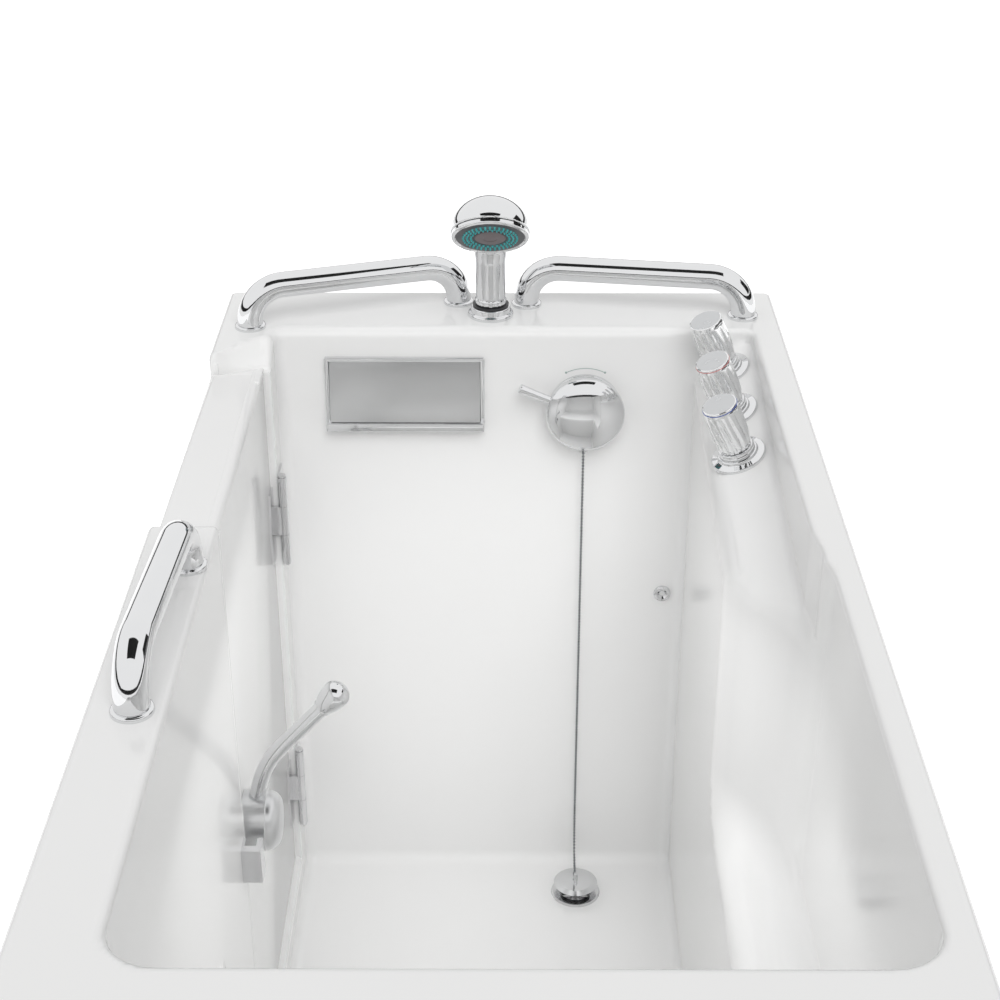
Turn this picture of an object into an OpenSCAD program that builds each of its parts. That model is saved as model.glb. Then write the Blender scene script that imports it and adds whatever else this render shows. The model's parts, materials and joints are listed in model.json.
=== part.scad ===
// Walk-in bathtub: a deep moulded well with a seat, a door that swings inward on two hinges,
// three grab bars, a deck-mounted hand shower, a waterfall spout, three valves on a sloping
// ledge, a turning drain control with its stopper, and the steel frame, pipes and panels
// that carry and hide them.
// Millimetres. The origin is on the ground, under the middle of the rim. +Y points to the
// foot end, +Z up, and the door is on the -X side.

/* [Tub] */
// Width of the rim
tub_w = 711; // [700:1:740]
// Length of the rim
tub_l = 1346; // [1330:1:1400]
// Height of the rim deck
rim_z = 965; // [955:1:985]
// Thickness of the moulded shell
shell_t = 6; // [5:0.5:7]
// Thickness of the rim deck
deck_t = 8; // [7:0.5:9]
// Depth of the turned-down rim edge
lip_h = 38; // [30:1:48]
// Thickness of the turned-down rim edge
lip_t = 5; // [4:0.5:5]
// Radius of the rim's outer corners
corner_r = 14; // [8:1:20]

/* [Well] */
// Height of the footwell floor
floor_z = 118; // [114:1:130]
// Height of the seat
seat_z = 545; // [520:1:560]
// Width of the deck on the door side
deck_door = 71.5; // [70:0.5:75]
// Depth of the deck at the foot end
deck_foot = 128; // [124:1:134]
// Depth of the deck behind the seat
deck_back = 73; // [68:1:80]
// Width of the deck beside the seat
deck_seat = 28; // [24:1:32]
// Width of the deck beside the valves
deck_valve = 38; // [36:0.5:39]
// From the rim's edge to the well wall under the valves
wall_valve = 108; // [107:0.5:109]
// Depth of the seat
seat_depth = 410; // [380:5:430]
// How far the backrest leans
back_lean = 40; // [20:1:50]
// Radius inside the seat hollow
seat_r = 45; // [35:1:50]
// Radius inside the footwell
foot_r = 16; // [13:0.5:16]

/* [Valve ledge] */
// Inward tilt of the ledge
ledge_tilt = 21.5; // [20:0.5:23]
// Fall of the ledge towards the seat
ledge_fall = 8; // [6:0.5:9]
// Height of the ledge at the middle valve
ledge_z = 910.5; // [906:0.5:914]
// From one valve to the next
valve_pitch = 91; // [86:0.5:91.5]
// From the foot wall to the middle valve
valve_y = 125.5; // [125:0.5:129]
// From the rim's edge to the line of the valves
valve_in = 74.5; // [73.5:0.5:75]
// Radius of a valve's base ring
ring_r = 33; // [30:0.5:33.5]
// Radius of a fluted knob
knob_r = 21; // [19:0.5:22]
// Height of a fluted knob
knob_h = 58; // [52:1:60]

/* [Door] */
// Clear width inside the door rebate
rebate_w = 438; // [420:1:442]
// From the foot wall to the hinge-side edge of the rebate
hinge_post = 65; // [62:1:74]
// Height of the threshold
sill_z = 172; // [168:1:185]
// Height of the door's top
door_z = 940; // [930:1:944]
// Width of the stop that the door closes on
stop_w = 14; // [13:0.5:18]
// Thickness of the door's flange
flange_t = 14; // [12:0.5:16]
// How far the door's face stands back from the wall
door_back = 8; // [7:0.5:9]
// Clearance round the door
door_gap = 3; // [3:0.5:4]
// Thickness of the door seal
seal_t = 5.7; // [5:0.1:7]
// Diameter of the hinge pin
pin_d = 6; // [5:0.5:7]
// Height of a hinge leaf
leaf_h = 124; // [110:1:130]
// Height of the lower hinge above the threshold
lower_hinge = 129; // [124:1:134]
// Height of the upper hinge above the threshold
upper_hinge = 556; // [548:1:562]
// Height of the latch spindle above the threshold
latch_z = 377; // [360:1:390]
// From the rebate's free edge to the latch spindle
latch_in = 48; // [44:1:54]
// Radius of the latch hub
hub_r = 35; // [32:0.5:38]
// Length of the latch hub
hub_h = 36; // [32:0.5:38]

/* [Grab bars] */
// Diameter of the grab bar tube
bar_d = 32; // [30:0.5:34]
// Height of a bar's axis above the deck
bar_h = 52; // [48:1:56]
// Radius of a bar's end bends
bend_r = 44; // [38:1:46]
// Radius of a bar's flange
rose_r = 19.5; // [18.5:0.5:21]
// Height of a bar's flange
rose_h = 5; // [4:0.5:6]

/* [Fittings] */
// Width of the waterfall spout
spout_w = 203; // [190:1:210]
// Height of the waterfall spout
spout_h = 100; // [92:1:106]
// Height of the spout's middle
spout_z = 878; // [868:1:884]
// Radius of the drain control
dome_r = 49; // [44:0.5:52]
// Depth of the drain control
dome_h = 36; // [30:1:40]
// Height of the drain control
dome_z = 857; // [845:1:865]
// Length of the drain lever outside the control
lever_l = 42; // [34:1:46]
// Radius of the tub waste flange
waste_r = 35; // [32:0.5:38]
// Radius of the waste outlet pipe
outlet_r = 19.05; // [16:0.05:21]
// Radius of the water inlet stubs
inlet_r = 10.48; // [9:0.02:12]
// Length of the inlet stubs
inlet_l = 22; // [18:1:30]
// Radius of the shower's deck plate
plate_r = 29; // [27:0.5:31]
// Length of the shower handle above the deck
handle_l = 92; // [86:1:100]
// Radius of the shower handle
handle_r = 18.5; // [16:0.5:19]
// Radius of the shower head
head_r = 48.5; // [44:0.5:50]
// Angle of the shower face below level
head_tip = 46; // [40:1:50]
// Radius of the jet fitting
jet_r = 11.5; // [10:0.5:14]
// Height of the jet fitting
jet_z = 578; // [560:1:590]

/* [Frame and feet] */
// Side of the square base tubes
tube_w = 30; // [28:1:32]
// Side of the square posts
post_w = 25; // [22:1:25]
// Side of the square top rails
top_w = 19; // [17:1:19]
// Wall of the square tubes
tube_t = 2; // [1.5:0.5:3]
// Thickness of the base board
board_t = 12; // [9:1:14]
// Thickness of the skirt panels
skirt_t = 4; // [3:0.5:4.5]
// Height of the skirts above the ground
skirt_z = 22; // [15:1:30]
// Radius of a foot's pad
pad_r = 25; // [20:1:28]
// Height of a foot's pad
pad_h = 10; // [8:1:12]
// Radius of a foot's stud
stud_r = 6; // [5:0.5:8]

/* [Hidden] */
$fn = 48;

// The clearance of a running fit and the gap left between moving faces
fit = 0.05;
face_gap = 0.3;
thru = 1;
ball_over = 0.4;

// Planes of the rim and the well
rim_x = tub_w / 2;
rim_y = tub_l / 2;
well_x = -rim_x + deck_door;
foot_y = rim_y - deck_foot;
back_y = -rim_y + deck_back;
seat_x = rim_x - deck_seat;
ledge_x = rim_x - deck_valve;
valve_wall_x = rim_x - wall_valve;
seat_front = back_y + back_lean + seat_depth;
deck_under = rim_z - deck_t;
ledge_r = 5;
ledge_end = foot_y + 5.3;
over = 20;
ball_fn = 24;

// Planes of the frame
lip_gap = 1;
frame_x = rim_x - lip_t - lip_gap - skirt_t;
frame_y = rim_y - lip_t - lip_gap - skirt_t;
shell_under = floor_z - shell_t;
rail_top = shell_under - board_t;
rail_z = rail_top - tube_w;

// The valve ledge is a plane through the middle valve's base
ledge_slope_x = tan(ledge_tilt);
ledge_slope_y = tan(ledge_fall) / cos(ledge_tilt);
valve_x = rim_x - valve_in;
function ledge_at(x, y) = ledge_z + ledge_slope_x * (x - valve_x)
    + ledge_slope_y * (y - (foot_y - valve_y));
function valve_pos(i) = [valve_x, foot_y - valve_y + i * valve_pitch,
    ledge_at(valve_x, foot_y - valve_y + i * valve_pitch)];

// Planes of the doorway and the door
rebate_y1 = foot_y - hinge_post;
rebate_y0 = rebate_y1 - rebate_w;
jamb_t = 6;
jamb_y0 = rebate_y0 - jamb_t;
jamb_y1 = rebate_y1 + jamb_t;
jamb_z = sill_z - jamb_t;
face_x = well_x - door_back;
flange_x = face_x - flange_t;
stop_x = flange_x - face_gap - seal_t;
outer_x = -rim_x + 2;
door_y0 = rebate_y0 + door_gap;
door_y1 = rebate_y1 - door_gap;
body_y0 = rebate_y0 + stop_w + 4;
body_y1 = rebate_y1 - stop_w - 6;
body_taper = 8;
body_z = sill_z + stop_w + 6;
skin_t = 4;

// The hinge's knuckles stand just inside the well's wall
barrel_r = pin_d / 2 + 3;
hinge_x = well_x + barrel_r + face_gap;
hinge_y = door_y1 + 1;
hinge_zs = [lower_hinge, upper_hinge];
leaf_t = 3;
leaf_w = 30;

// The latch
latch_y = rebate_y0 + latch_in;
spindle_z = sill_z + latch_z;
hub_x = face_x + face_gap;
finger_l = latch_in + 24;
finger_x = well_x + 8;

// Grab bars: the two feet of each
far_left = [[-rim_x + 40.5, foot_y + 7], [-54, foot_y + 90]];
far_right = [[34, foot_y + 83], [rim_x - 45.5, foot_y + 43]];
near_left = [[-rim_x + 53, -44], [-rim_x + 43, -289]];
bars = [far_left, far_right, near_left];
bar_feet = [for (b = bars) each b];
bolt_r = 4;
bolt_l = 50;

// Deck and wall fittings
shower_x = -12;
shower_y = foot_y + 49;
bush_r = 20;
spout_x = -121.5;
frame_d = 7;
frame_b = 5;
drain_x = 109;
drain_y = foot_y - 72;
stem_r = 8;
ring_t = 6;
chain_x = drain_x - 1;
clip_z = dome_z - dome_r - 7;
jet_x = valve_wall_x - foot_r - jet_r;
overflow_y = foot_y + 32;
cable_r = 3;
elbow_r = 19;
rise = 12;
lever_angle = 23;

foot_at = [[-1, -1], [1, -1], [-1, 1], [1, 1]];
foot_in = 60;
tube_mid_x = frame_x - tube_w / 2;
function foot_pos(i) = [foot_at[i].x * tube_mid_x, foot_at[i].y * (frame_y - foot_in)];

// The bead chain's route from the drain control down the foot wall to the stopper
chain_y = foot_y - 12;
eye_z = floor_z + 27;
chain_turn = [[0, 110], [0, 80], [2, 52], [8, 26], [18, 10], [31, 3], [43, 0.5], [50, 0],
    [chain_y - drain_y - 3.3, 0]];
chain_pts = concat([for (k = [0:7]) [chain_x, chain_y, clip_z - k * (clip_z - eye_z - 110) / 8]],
    [for (t = chain_turn) [drain_x - 1, chain_y - t[0], eye_z + t[1]]]);
chain_r = 1.9;

module round_rect(w, l, r) {
    square([w - 2 * r, l], center = true);
    square([w, l - 2 * r], center = true);
    for (sx = [-1, 1], sy = [-1, 1])
        translate([sx * (w / 2 - r), sy * (l / 2 - r)])
            circle(r = r);
}

module block(x, y, z) {
    translate([x[0], y[0], z[0]])
        cube([x[1] - x[0], y[1] - y[0], z[1] - z[0]]);
}

// A square tube along X, Y or Z between two corners, open at both ends
module tube_x(x, y, z) {
    difference() {
        block(x, y, z);
        block([x[0] - thru, x[1] + thru], [y[0] + tube_t, y[1] - tube_t],
            [z[0] + tube_t, z[1] - tube_t]);
    }
}

module tube_y(x, y, z) {
    difference() {
        block(x, y, z);
        block([x[0] + tube_t, x[1] - tube_t], [y[0] - thru, y[1] + thru],
            [z[0] + tube_t, z[1] - tube_t]);
    }
}

module tube_z(x, y, z) {
    difference() {
        block(x, y, z);
        block([x[0] + tube_t, x[1] - tube_t], [y[0] + tube_t, y[1] - tube_t],
            [z[0] - thru, z[1] + thru]);
    }
}

// A round rod between two points
module rod(a, b, r) {
    d = b - a;
    translate(a)
        rotate([0, acos(d.z / norm(d)), atan2(d.y, d.x)])
            cylinder(r = r, h = norm(d));
}

// A pipe through a list of points, with a slightly proud ball at each corner
module pipe(points, r) {
    for (i = [0:len(points) - 2])
        rod(points[i], points[i + 1], r);
    for (i = [1:len(points) - 2])
        translate(points[i])
            sphere(r = r + ball_over);
}

// A wall fitting's own frame: +Z points out of the foot wall, into the well
module on_foot_wall(x, z) {
    translate([x, foot_y, z])
        rotate([90, 0, 0])
            children();
}

// A valve's own frame: +Z is square to the ledge
module on_ledge(i) {
    translate(valve_pos(i))
        rotate([ledge_fall, -ledge_tilt, 0])
            children();
}

// ---- the moulded shell ----

// A coarse ball whose outermost rings reach the radius, so that the planes stay true
module corner_ball(r) {
    sphere(r = r / cos(180 / ball_fn), $fn = ball_fn);
}

module hollow(low, high, z0, z1, r, grow) {
    hull() {
        for (p = low)
            translate([p.x, p.y, z0 + r])
                corner_ball(r + grow);
        for (p = high)
            translate([p.x, p.y, z1 - 1])
                cylinder(r = r + grow, h = 1, $fn = ball_fn);
    }
}

module seat_hollow(grow, z1) {
    x0 = well_x + seat_r - fit;
    x1 = seat_x - seat_r;
    x2 = valve_wall_x - seat_r - 2;
    y0 = back_y + seat_r;
    front = [[x1, -5], [x2, 105], [x0, 105]];
    hollow(concat([[x0, y0 + back_lean], [x1 - 4, y0 + back_lean]], front),
        concat([[x0, y0], [x1, y0]], front), seat_z, z1, seat_r, grow);
}

module foot_hollow(grow, z1) {
    x0 = well_x + foot_r;
    x1 = valve_wall_x - foot_r;
    y0 = seat_front + foot_r;
    y1 = foot_y - foot_r;
    plan = [[x0, y0], [x1, y0], [x1, y1], [x0, y1]];
    hollow(plan, plan, floor_z, z1, foot_r, grow);
}

module ledge_hollow(grow, z1) {
    lift = ledge_r / (cos(ledge_fall) * cos(ledge_tilt));
    x0 = valve_wall_x - foot_r - 8;
    x1 = ledge_x - ledge_r;
    y0 = 60;
    y1 = ledge_end - ledge_r;
    hull() {
        for (x = [x0, x1], y = [y0, y1]) {
            translate([x, y, ledge_at(x, y) + lift])
                corner_ball(ledge_r + grow);
            translate([x, y, z1 - 1])
                cylinder(r = ledge_r + grow, h = 1, $fn = ball_fn);
        }
    }
}

module well(grow, z1) {
    seat_hollow(grow, z1);
    foot_hollow(grow, z1);
    ledge_hollow(grow, z1);
}

step_in = 8;

// The corner between the hinge post and the foot wall, where the deck steps down
// to the height of the door's top
step_pts = [[-rim_x + 15, jamb_y1 - 1], [-rim_x + 22, jamb_y1 + 5], [-rim_x + 34, jamb_y1 + 10],
    [-rim_x + 52, jamb_y1 + 13], [well_x + step_in, jamb_y1 + 14],
    [well_x + step_in, jamb_y1 - 1]];

module corner_step() {
    difference() {
        block([-frame_x, well_x - shell_t / 2], [jamb_y1, jamb_y1 + 14 + shell_t],
            [door_z - shell_t, deck_under + deck_t / 2]);
        translate([0, 0, door_z])
            linear_extrude(rim_z)
                polygon(step_pts);
    }
}

module deck_plate() {
    translate([0, 0, deck_under])
        linear_extrude(deck_t)
            round_rect(tub_w, tub_l, corner_r);
    translate([0, 0, rim_z - lip_h])
        linear_extrude(lip_h - deck_t / 2)
            difference() {
                round_rect(tub_w, tub_l, corner_r);
                round_rect(tub_w - 2 * lip_t, tub_l - 2 * lip_t, corner_r - lip_t);
            }
}

module tub_shell() {
    color([0.95, 0.95, 0.95])
    difference() {
        union() {
            well(shell_t, rim_z - deck_t / 2);
            deck_plate();
            corner_step();
        }
        well(0, rim_z + over);
        block([-rim_x - thru, well_x + step_in], [jamb_y0, jamb_y1], [jamb_z, rim_z + over]);
        translate([0, 0, door_z])
            linear_extrude(rim_z)
                polygon(step_pts);
        for (p = bar_feet)
            translate([p.x, p.y, deck_under - thru])
                cylinder(r = bolt_r + face_gap, h = deck_t + 2 * thru);
        translate([shower_x, shower_y, deck_under - thru])
            cylinder(r = bush_r + 3, h = deck_t + 2 * thru);
        translate([drain_x, drain_y, shell_under - thru])
            cylinder(r = waste_r - 8, h = shell_t + 2 * thru);
        on_foot_wall(drain_x, dome_z)
            translate([0, 0, -shell_t - thru])
                cylinder(r = 24, h = shell_t + 2 * thru);
        on_foot_wall(jet_x, jet_z)
            translate([0, 0, -shell_t - thru])
                cylinder(r = 8, h = shell_t + 2 * thru);
        block([spout_x - spout_w / 2 + 8, spout_x + spout_w / 2 - 8],
            [foot_y - thru, foot_y + shell_t + thru],
            [spout_z - spout_h / 2 + 8, spout_z + spout_h / 2 - 8]);
        for (i = [-1:1])
            on_ledge(i)
                translate([0, 0, -shell_t - 6])
                    cylinder(r = 14, h = shell_t + 12);
    }
}

// ---- doorway ----

module door_jamb() {
    color([0.93, 0.93, 0.93])
    difference() {
        union() {
            block([-frame_x, well_x], [jamb_y0, jamb_y1], [jamb_z, door_z - shell_t]);
            block([-frame_x, well_x], [jamb_y0, rebate_y0], [jamb_z, deck_under]);
        }
        block([stop_x, well_x + thru], [rebate_y0, rebate_y1], [sill_z, rim_z]);
        block([-frame_x - thru, stop_x + thru], [rebate_y0 + stop_w - 2, rebate_y1 - stop_w],
            [sill_z + stop_w, rim_z]);
    }
}

module door_seal() {
    s0 = rebate_y0 + 2;
    s1 = rebate_y1 - 3;
    w = stop_w - 5;
    color([0.25, 0.25, 0.26])
    difference() {
        block([stop_x, stop_x + seal_t], [s0, s1], [sill_z + 2, door_z - 12]);
        block([stop_x - thru, stop_x + seal_t + thru], [s0 + w, s1 - w],
            [sill_z + 2 + w, door_z]);
        block([stop_x + seal_t - 2, stop_x + seal_t + thru], [s0 + w / 2 - 1, s0 + w / 2 + 1],
            [sill_z + 4, door_z]);
        block([stop_x + seal_t - 2, stop_x + seal_t + thru], [s1 - w / 2 - 1, s1 - w / 2 + 1],
            [sill_z + 4, door_z]);
    }
}

// ---- frame, board and skirts ----

module base_board() {
    color([0.62, 0.5, 0.34])
    difference() {
        block([-frame_x, frame_x], [-frame_y, frame_y], [rail_top, shell_under]);
        translate([drain_x, drain_y, rail_top - thru])
            cylinder(r = waste_r + 6, h = board_t + 2 * thru);
        block([drain_x - 26, drain_x + 66], [foot_y + shell_t + 2, foot_y + 60],
            [rail_top - thru, shell_under + thru]);
        block([frame_x - 62, frame_x - 12], [foot_y - 240, foot_y - 70],
            [rail_top - thru, shell_under + thru]);
    }
}

cross_y = [-frame_y + tube_w / 2, seat_front + 20, foot_y - 210, frame_y - tube_w / 2];

module base_rails() {
    color([0.30, 0.32, 0.34]) {
        difference() {
            tube_y([-frame_x, -frame_x + tube_w], [-frame_y, frame_y], [rail_z, rail_top]);
            for (i = [0, 2])
                translate([foot_pos(i).x, foot_pos(i).y, rail_z - thru])
                    cylinder(r = stud_r + fit, h = tube_t + 2 * thru);
        }
        difference() {
            tube_y([frame_x - tube_w, frame_x], [-frame_y, frame_y], [rail_z, rail_top]);
            for (i = [1, 3])
                translate([foot_pos(i).x, foot_pos(i).y, rail_z - thru])
                    cylinder(r = stud_r + fit, h = tube_t + 2 * thru);
        }
        for (y = cross_y)
            tube_x([-frame_x + tube_w, frame_x - tube_w], [y - tube_w / 2, y + tube_w / 2],
                [rail_z, rail_top]);
    }
}

// Posts stand on the board, over the base rails
post_top = deck_under - top_w;
post_ys_left = [-frame_y, jamb_y0 - post_w, jamb_y1, frame_y - post_w];
right_post_in = 320;
post_ys_right = [-frame_y, foot_y - right_post_in, frame_y - post_w];

module frame_posts() {
    color([0.30, 0.32, 0.34]) {
        for (y = post_ys_left)
            tube_z([-frame_x, -frame_x + post_w], [y, y + post_w],
                [shell_under, y == jamb_y1 ? door_z - shell_t : post_top]);
        for (y = post_ys_right)
            tube_z([frame_x - top_w, frame_x], [y, y + post_w], [shell_under, post_top]);
        for (x = [-frame_x, frame_x - post_w], y = bearer_ys)
            tube_z([x, x + post_w], [y, y + post_w], [shell_under, bearer_z]);
    }
}

bearer_z = seat_z - shell_t - post_w;
bearer_in = 90;
bearer_ys = [back_y + back_lean + bearer_in, seat_front - bearer_in];

module seat_bearers() {
    color([0.30, 0.32, 0.34])
    for (y = bearer_ys)
        tube_x([-frame_x, frame_x], [y, y + post_w], [bearer_z, seat_z - shell_t]);
}

module top_rails() {
    z = [deck_under - top_w, deck_under];
    color([0.30, 0.32, 0.34]) {
        tube_y([-frame_x, -frame_x + top_w], [-frame_y + top_w, jamb_y0], z);
        tube_x([-frame_x, frame_x], [-frame_y, -frame_y + top_w], z);
        tube_x([-frame_x, frame_x], [frame_y - top_w, frame_y], z);
        tube_y([frame_x - top_w, frame_x], [foot_y - right_post_in, frame_y - top_w], z);
    }
}

skirt_top = deck_under - 5;
skirt_r = 8;

module door_side_skirt() {
    color([0.95, 0.95, 0.95])
    difference() {
        intersection() {
            block([-frame_x - skirt_t, -frame_x], [-frame_y - skirt_t, frame_y + skirt_t],
                [skirt_z, skirt_top]);
            linear_extrude(rim_z)
                round_rect(2 * (frame_x + skirt_t), 2 * (frame_y + skirt_t), skirt_r);
        }
        block([-frame_x - skirt_t - thru, -frame_x + thru],
            [rebate_y0 + stop_w - 2, rebate_y1 - stop_w], [sill_z + stop_w, rim_z]);
        for (p = side_screws)
            translate([-frame_x - skirt_t - thru, p.x, p.y])
                rotate([0, 90, 0])
                    cylinder(r = 2.5, h = skirt_t + 2 * thru);
    }
}

module end_skirt(y) {
    color([0.95, 0.95, 0.95])
    difference() {
        block([-frame_x, frame_x], [min(y, y + sign(y) * skirt_t), max(y, y + sign(y) * skirt_t)],
            [skirt_z, skirt_top]);
        for (p = end_screws)
            translate([p.x, y - 3 * skirt_t, p.y])
                rotate([-90, 0, 0])
                    cylinder(r = 2.5, h = 6 * skirt_t);
    }
}

screw_in = post_w / 2;
screw_low = shell_under + 48;
screw_high = skirt_top - 72;
screw_zs = [screw_low, (screw_low + screw_high) / 2, screw_high];
side_screws = [for (y = [-frame_y + screw_in, jamb_y0 - screw_in, frame_y - screw_in],
    z = screw_zs) [y, z]];
end_screws = [for (x = [-frame_x + screw_in, frame_x - screw_in], z = screw_zs) [x, z]];

module screw() {
    cylinder(r1 = 5.5, r2 = 4.5, h = 2);
    translate([0, 0, -skirt_t])
        cylinder(r = 2.3, h = skirt_t + 1);
}

module skirt_screws() {
    color([0.88, 0.88, 0.88]) {
        for (p = side_screws)
            translate([-frame_x - skirt_t, p.x, p.y])
                rotate([0, -90, 0])
                    screw();
        for (p = end_screws) {
            translate([p.x, frame_y + skirt_t, p.y])
                rotate([-90, 0, 0])
                    screw();
            translate([p.x, -frame_y - skirt_t, p.y])
                rotate([90, 0, 0])
                    screw();
        }
    }
}

// ---- grab bars ----

module bar_end() {
    translate([0, 0, rose_h])
        cylinder(r = bar_d / 2, h = bar_h - bend_r - rose_h);
    translate([bend_r, 0, bar_h - bend_r])
        rotate([90, 0, 180])
            rotate_extrude(angle = 90)
                translate([bend_r, 0])
                    circle(r = bar_d / 2);
}

module grab_bar(feet) {
    d = feet[1] - feet[0];
    l = norm(d);
    color([0.82, 0.83, 0.85])
    translate([feet[0].x, feet[0].y, rim_z])
        rotate([0, 0, atan2(d.y, d.x)])
            difference() {
                union() {
                    bar_end();
                    translate([l, 0, 0])
                        rotate([0, 0, 180])
                            bar_end();
                    translate([bend_r, 0, bar_h])
                        rotate([0, 90, 0])
                            cylinder(r = bar_d / 2, h = l - 2 * bend_r);
                }
                for (x = [0, l])
                    translate([x, 0, rose_h - thru])
                        cylinder(r = bolt_r + fit, h = bolt_l - rose_h - 22);
            }
}

module bar_flanges() {
    color([0.82, 0.83, 0.85])
    for (p = bar_feet)
        translate([p.x, p.y, rim_z])
            difference() {
                rotate_extrude()
                    polygon([[0, 0], [rose_r, 0], [rose_r, rose_h - 2], [rose_r - 1.5, rose_h],
                        [0, rose_h]]);
                translate([0, 0, -thru])
                    cylinder(r = bolt_r + fit, h = rose_h + 2 * thru);
            }
}

module bar_studs() {
    color([0.7, 0.7, 0.72])
    for (p = bar_feet)
        translate([p.x, p.y, deck_under]) {
            translate([0, 0, -24])
                cylinder(r = bolt_r, h = bolt_l);
            translate([0, 0, -2])
                cylinder(r = 9, h = 2);
            translate([0, 0, -9])
                cylinder(r = 7.5, h = 7, $fn = 6);
        }
}

// ---- hand shower ----

sleeve_l = 30;

module shower_deck_plate() {
    color([0.82, 0.83, 0.85])
    translate([shower_x, shower_y, rim_z])
        difference() {
            union() {
                rotate_extrude()
                    polygon([[0, 0], [plate_r, 0], [plate_r, 2.5], [plate_r - 2, 4.5],
                        [bush_r + 6, 5], [bush_r + 5, 12], [bush_r + 3.5, 13], [0, 13]]);
                translate([0, 0, -sleeve_l])
                    cylinder(r = bush_r + 2.7, h = sleeve_l + 1);
                translate([0, 0, -deck_t - 8])
                    cylinder(r = bush_r + 9, h = 8);
            }
            translate([0, 0, -32])
                cylinder(r = bush_r + fit, h = 50);
        }
}

// The bush turns in the deck plate and holds the handle's tapered end
module shower_bush() {
    color([0.2, 0.2, 0.21])
    translate([shower_x, shower_y, rim_z])
        difference() {
            union() {
                translate([0, 0, -sleeve_l - 3])
                    cylinder(r = bush_r, h = sleeve_l + 16.3);
                translate([0, 0, 13 + face_gap])
                    cylinder(r = bush_r + 3, h = 2.4);
                translate([0, 0, -sleeve_l - 3.3])
                    cylinder(r = bush_r + 2.2, h = 3);
            }
            translate([0, 0, -40])
                cylinder(r = 14, h = 60);
        }
}

head_c = [shower_x, shower_y - 54, rim_z + handle_l + 37];
neck = [shower_x, shower_y, rim_z + handle_l - 2];

module shower_frame() {
    translate(head_c)
        rotate([90 + head_tip, 0, 0])
            children();
}

module hand_shower() {
    color([0.82, 0.83, 0.85]) {
        difference() {
            union() {
                translate([shower_x, shower_y, rim_z - 30])
                    cylinder(r = 13.8, h = 50);
                translate([shower_x, shower_y, rim_z + 16])
                    rotate_extrude()
                        polygon([[0, 0], [handle_r + 1.5, 0], [handle_r + 1.5, 7],
                            [handle_r - 1, 9], [handle_r, handle_l - 18], [0, handle_l - 18]]);
                translate(neck)
                    sphere(r = handle_r + ball_over);
                rod(neck, neck + [0, -14, 38], handle_r - 0.5);
                shower_frame()
                    intersection() {
                        translate([0, 0, -4])
                            sphere(r = head_r);
                        translate([0, 0, -head_r - 10])
                            cylinder(r = head_r + 5, h = head_r + 10);
                    }
            }
            translate([shower_x, shower_y, rim_z - 31])
                cylinder(r = 7, h = 24);
            shower_frame() {
                cylinder(r = head_r + 1, h = 20);
                translate([0, 0, -14])
                    cylinder(r = 5 + fit, h = 20);
            }
        }
    }
}

nozzle_r = 1.6;

module spray_ring() {
    color([0.18, 0.2, 0.22])
    shower_frame() {
        translate([0, 0, -13])
            cylinder(r = 5, h = 14);
        translate([0, 0, face_gap])
            rotate_extrude()
                polygon([[0, 0], [head_r - 3, 0], [head_r - 1, 2], [head_r - 1, 5],
                    [head_r - 4, 7], [head_r - 5.5, 5.5], [14, 5.5], [13, 6.5], [0, 6.5]]);
        for (n = [[16, 20], [24, 28], [30, 35]], i = [0:n.x - 1])
            rotate([0, 0, 360 * i / n.x])
                translate([n.y, 0, 5])
                    cylinder(r = nozzle_r, h = 2.2);
    }
}

// ---- waterfall spout ----

module spout_frame() {
    w = spout_w / 2;
    h = spout_h / 2;
    color([0.82, 0.83, 0.85])
    on_foot_wall(spout_x, spout_z)
        difference() {
            union() {
                translate([-w, -h, 0])
                    cube([spout_w, spout_h, frame_d]);
                translate([-w, -h, 0])
                    cube([spout_w, 12, frame_d + 9]);
            }
            translate([-w + frame_b, -h + 12, -thru])
                cube([spout_w - 2 * frame_b, spout_h - 12 - frame_b, frame_d + 20]);
        }
}

// A mirror-bright panel that slopes out over the water slot
module spout_panel() {
    w = spout_w / 2 - frame_b - face_gap;
    h = spout_h / 2;
    color([0.7, 0.71, 0.73])
    on_foot_wall(spout_x, spout_z)
        translate([-w, 0, 0])
            rotate([90, 0, 90])
                linear_extrude(2 * w)
                    polygon([[h - frame_b, 0], [h - frame_b, 3], [-h + 14.5, frame_d + 6],
                        [-h + 14.5, frame_d + 3]]);
}

module spout_tank() {
    w = spout_w / 2;
    h = spout_h / 2;
    color([0.9, 0.9, 0.9])
    on_foot_wall(spout_x, spout_z)
        difference() {
            union() {
                translate([-w, -h, -shell_t - 34])
                    cube([spout_w, spout_h, 34]);
                translate([0, -h - 18, -shell_t - 20])
                    rotate([-90, 0, 0])
                        cylinder(r = inlet_r + 3, h = 20);
            }
            translate([-w + 4, -h + 4, -shell_t - 30])
                cube([spout_w - 8, spout_h - 8, 31]);
            translate([0, -h - 19, -shell_t - 20])
                rotate([-90, 0, 0])
                    cylinder(r = inlet_r + fit, h = 24);
        }
}

// ---- valves and pipes ----

valve_len = 62;
stem_hole = 10;

module valve_body(i) {
    color([0.78, 0.65, 0.35])
    on_ledge(i)
        difference() {
            union() {
                translate([0, 0, -shell_t - valve_len])
                    cylinder(r = 17, h = valve_len - face_gap);
                translate([0, 0, -shell_t - 12])
                    cylinder(r = 22, h = 12 - face_gap);
                translate([0, 0, -shell_t - 1])
                    cylinder(r = 13.7, h = shell_t + 1);
            }
            translate([0, 0, -shell_t - 30])
                cylinder(r = stem_hole, h = 60);
        }
}

function valve_axis() = [-cos(ledge_fall) * sin(ledge_tilt), -sin(ledge_fall),
    cos(ledge_fall) * cos(ledge_tilt)];
function valve_low(i) = valve_pos(i) - (shell_t + valve_len) * valve_axis();

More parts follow.
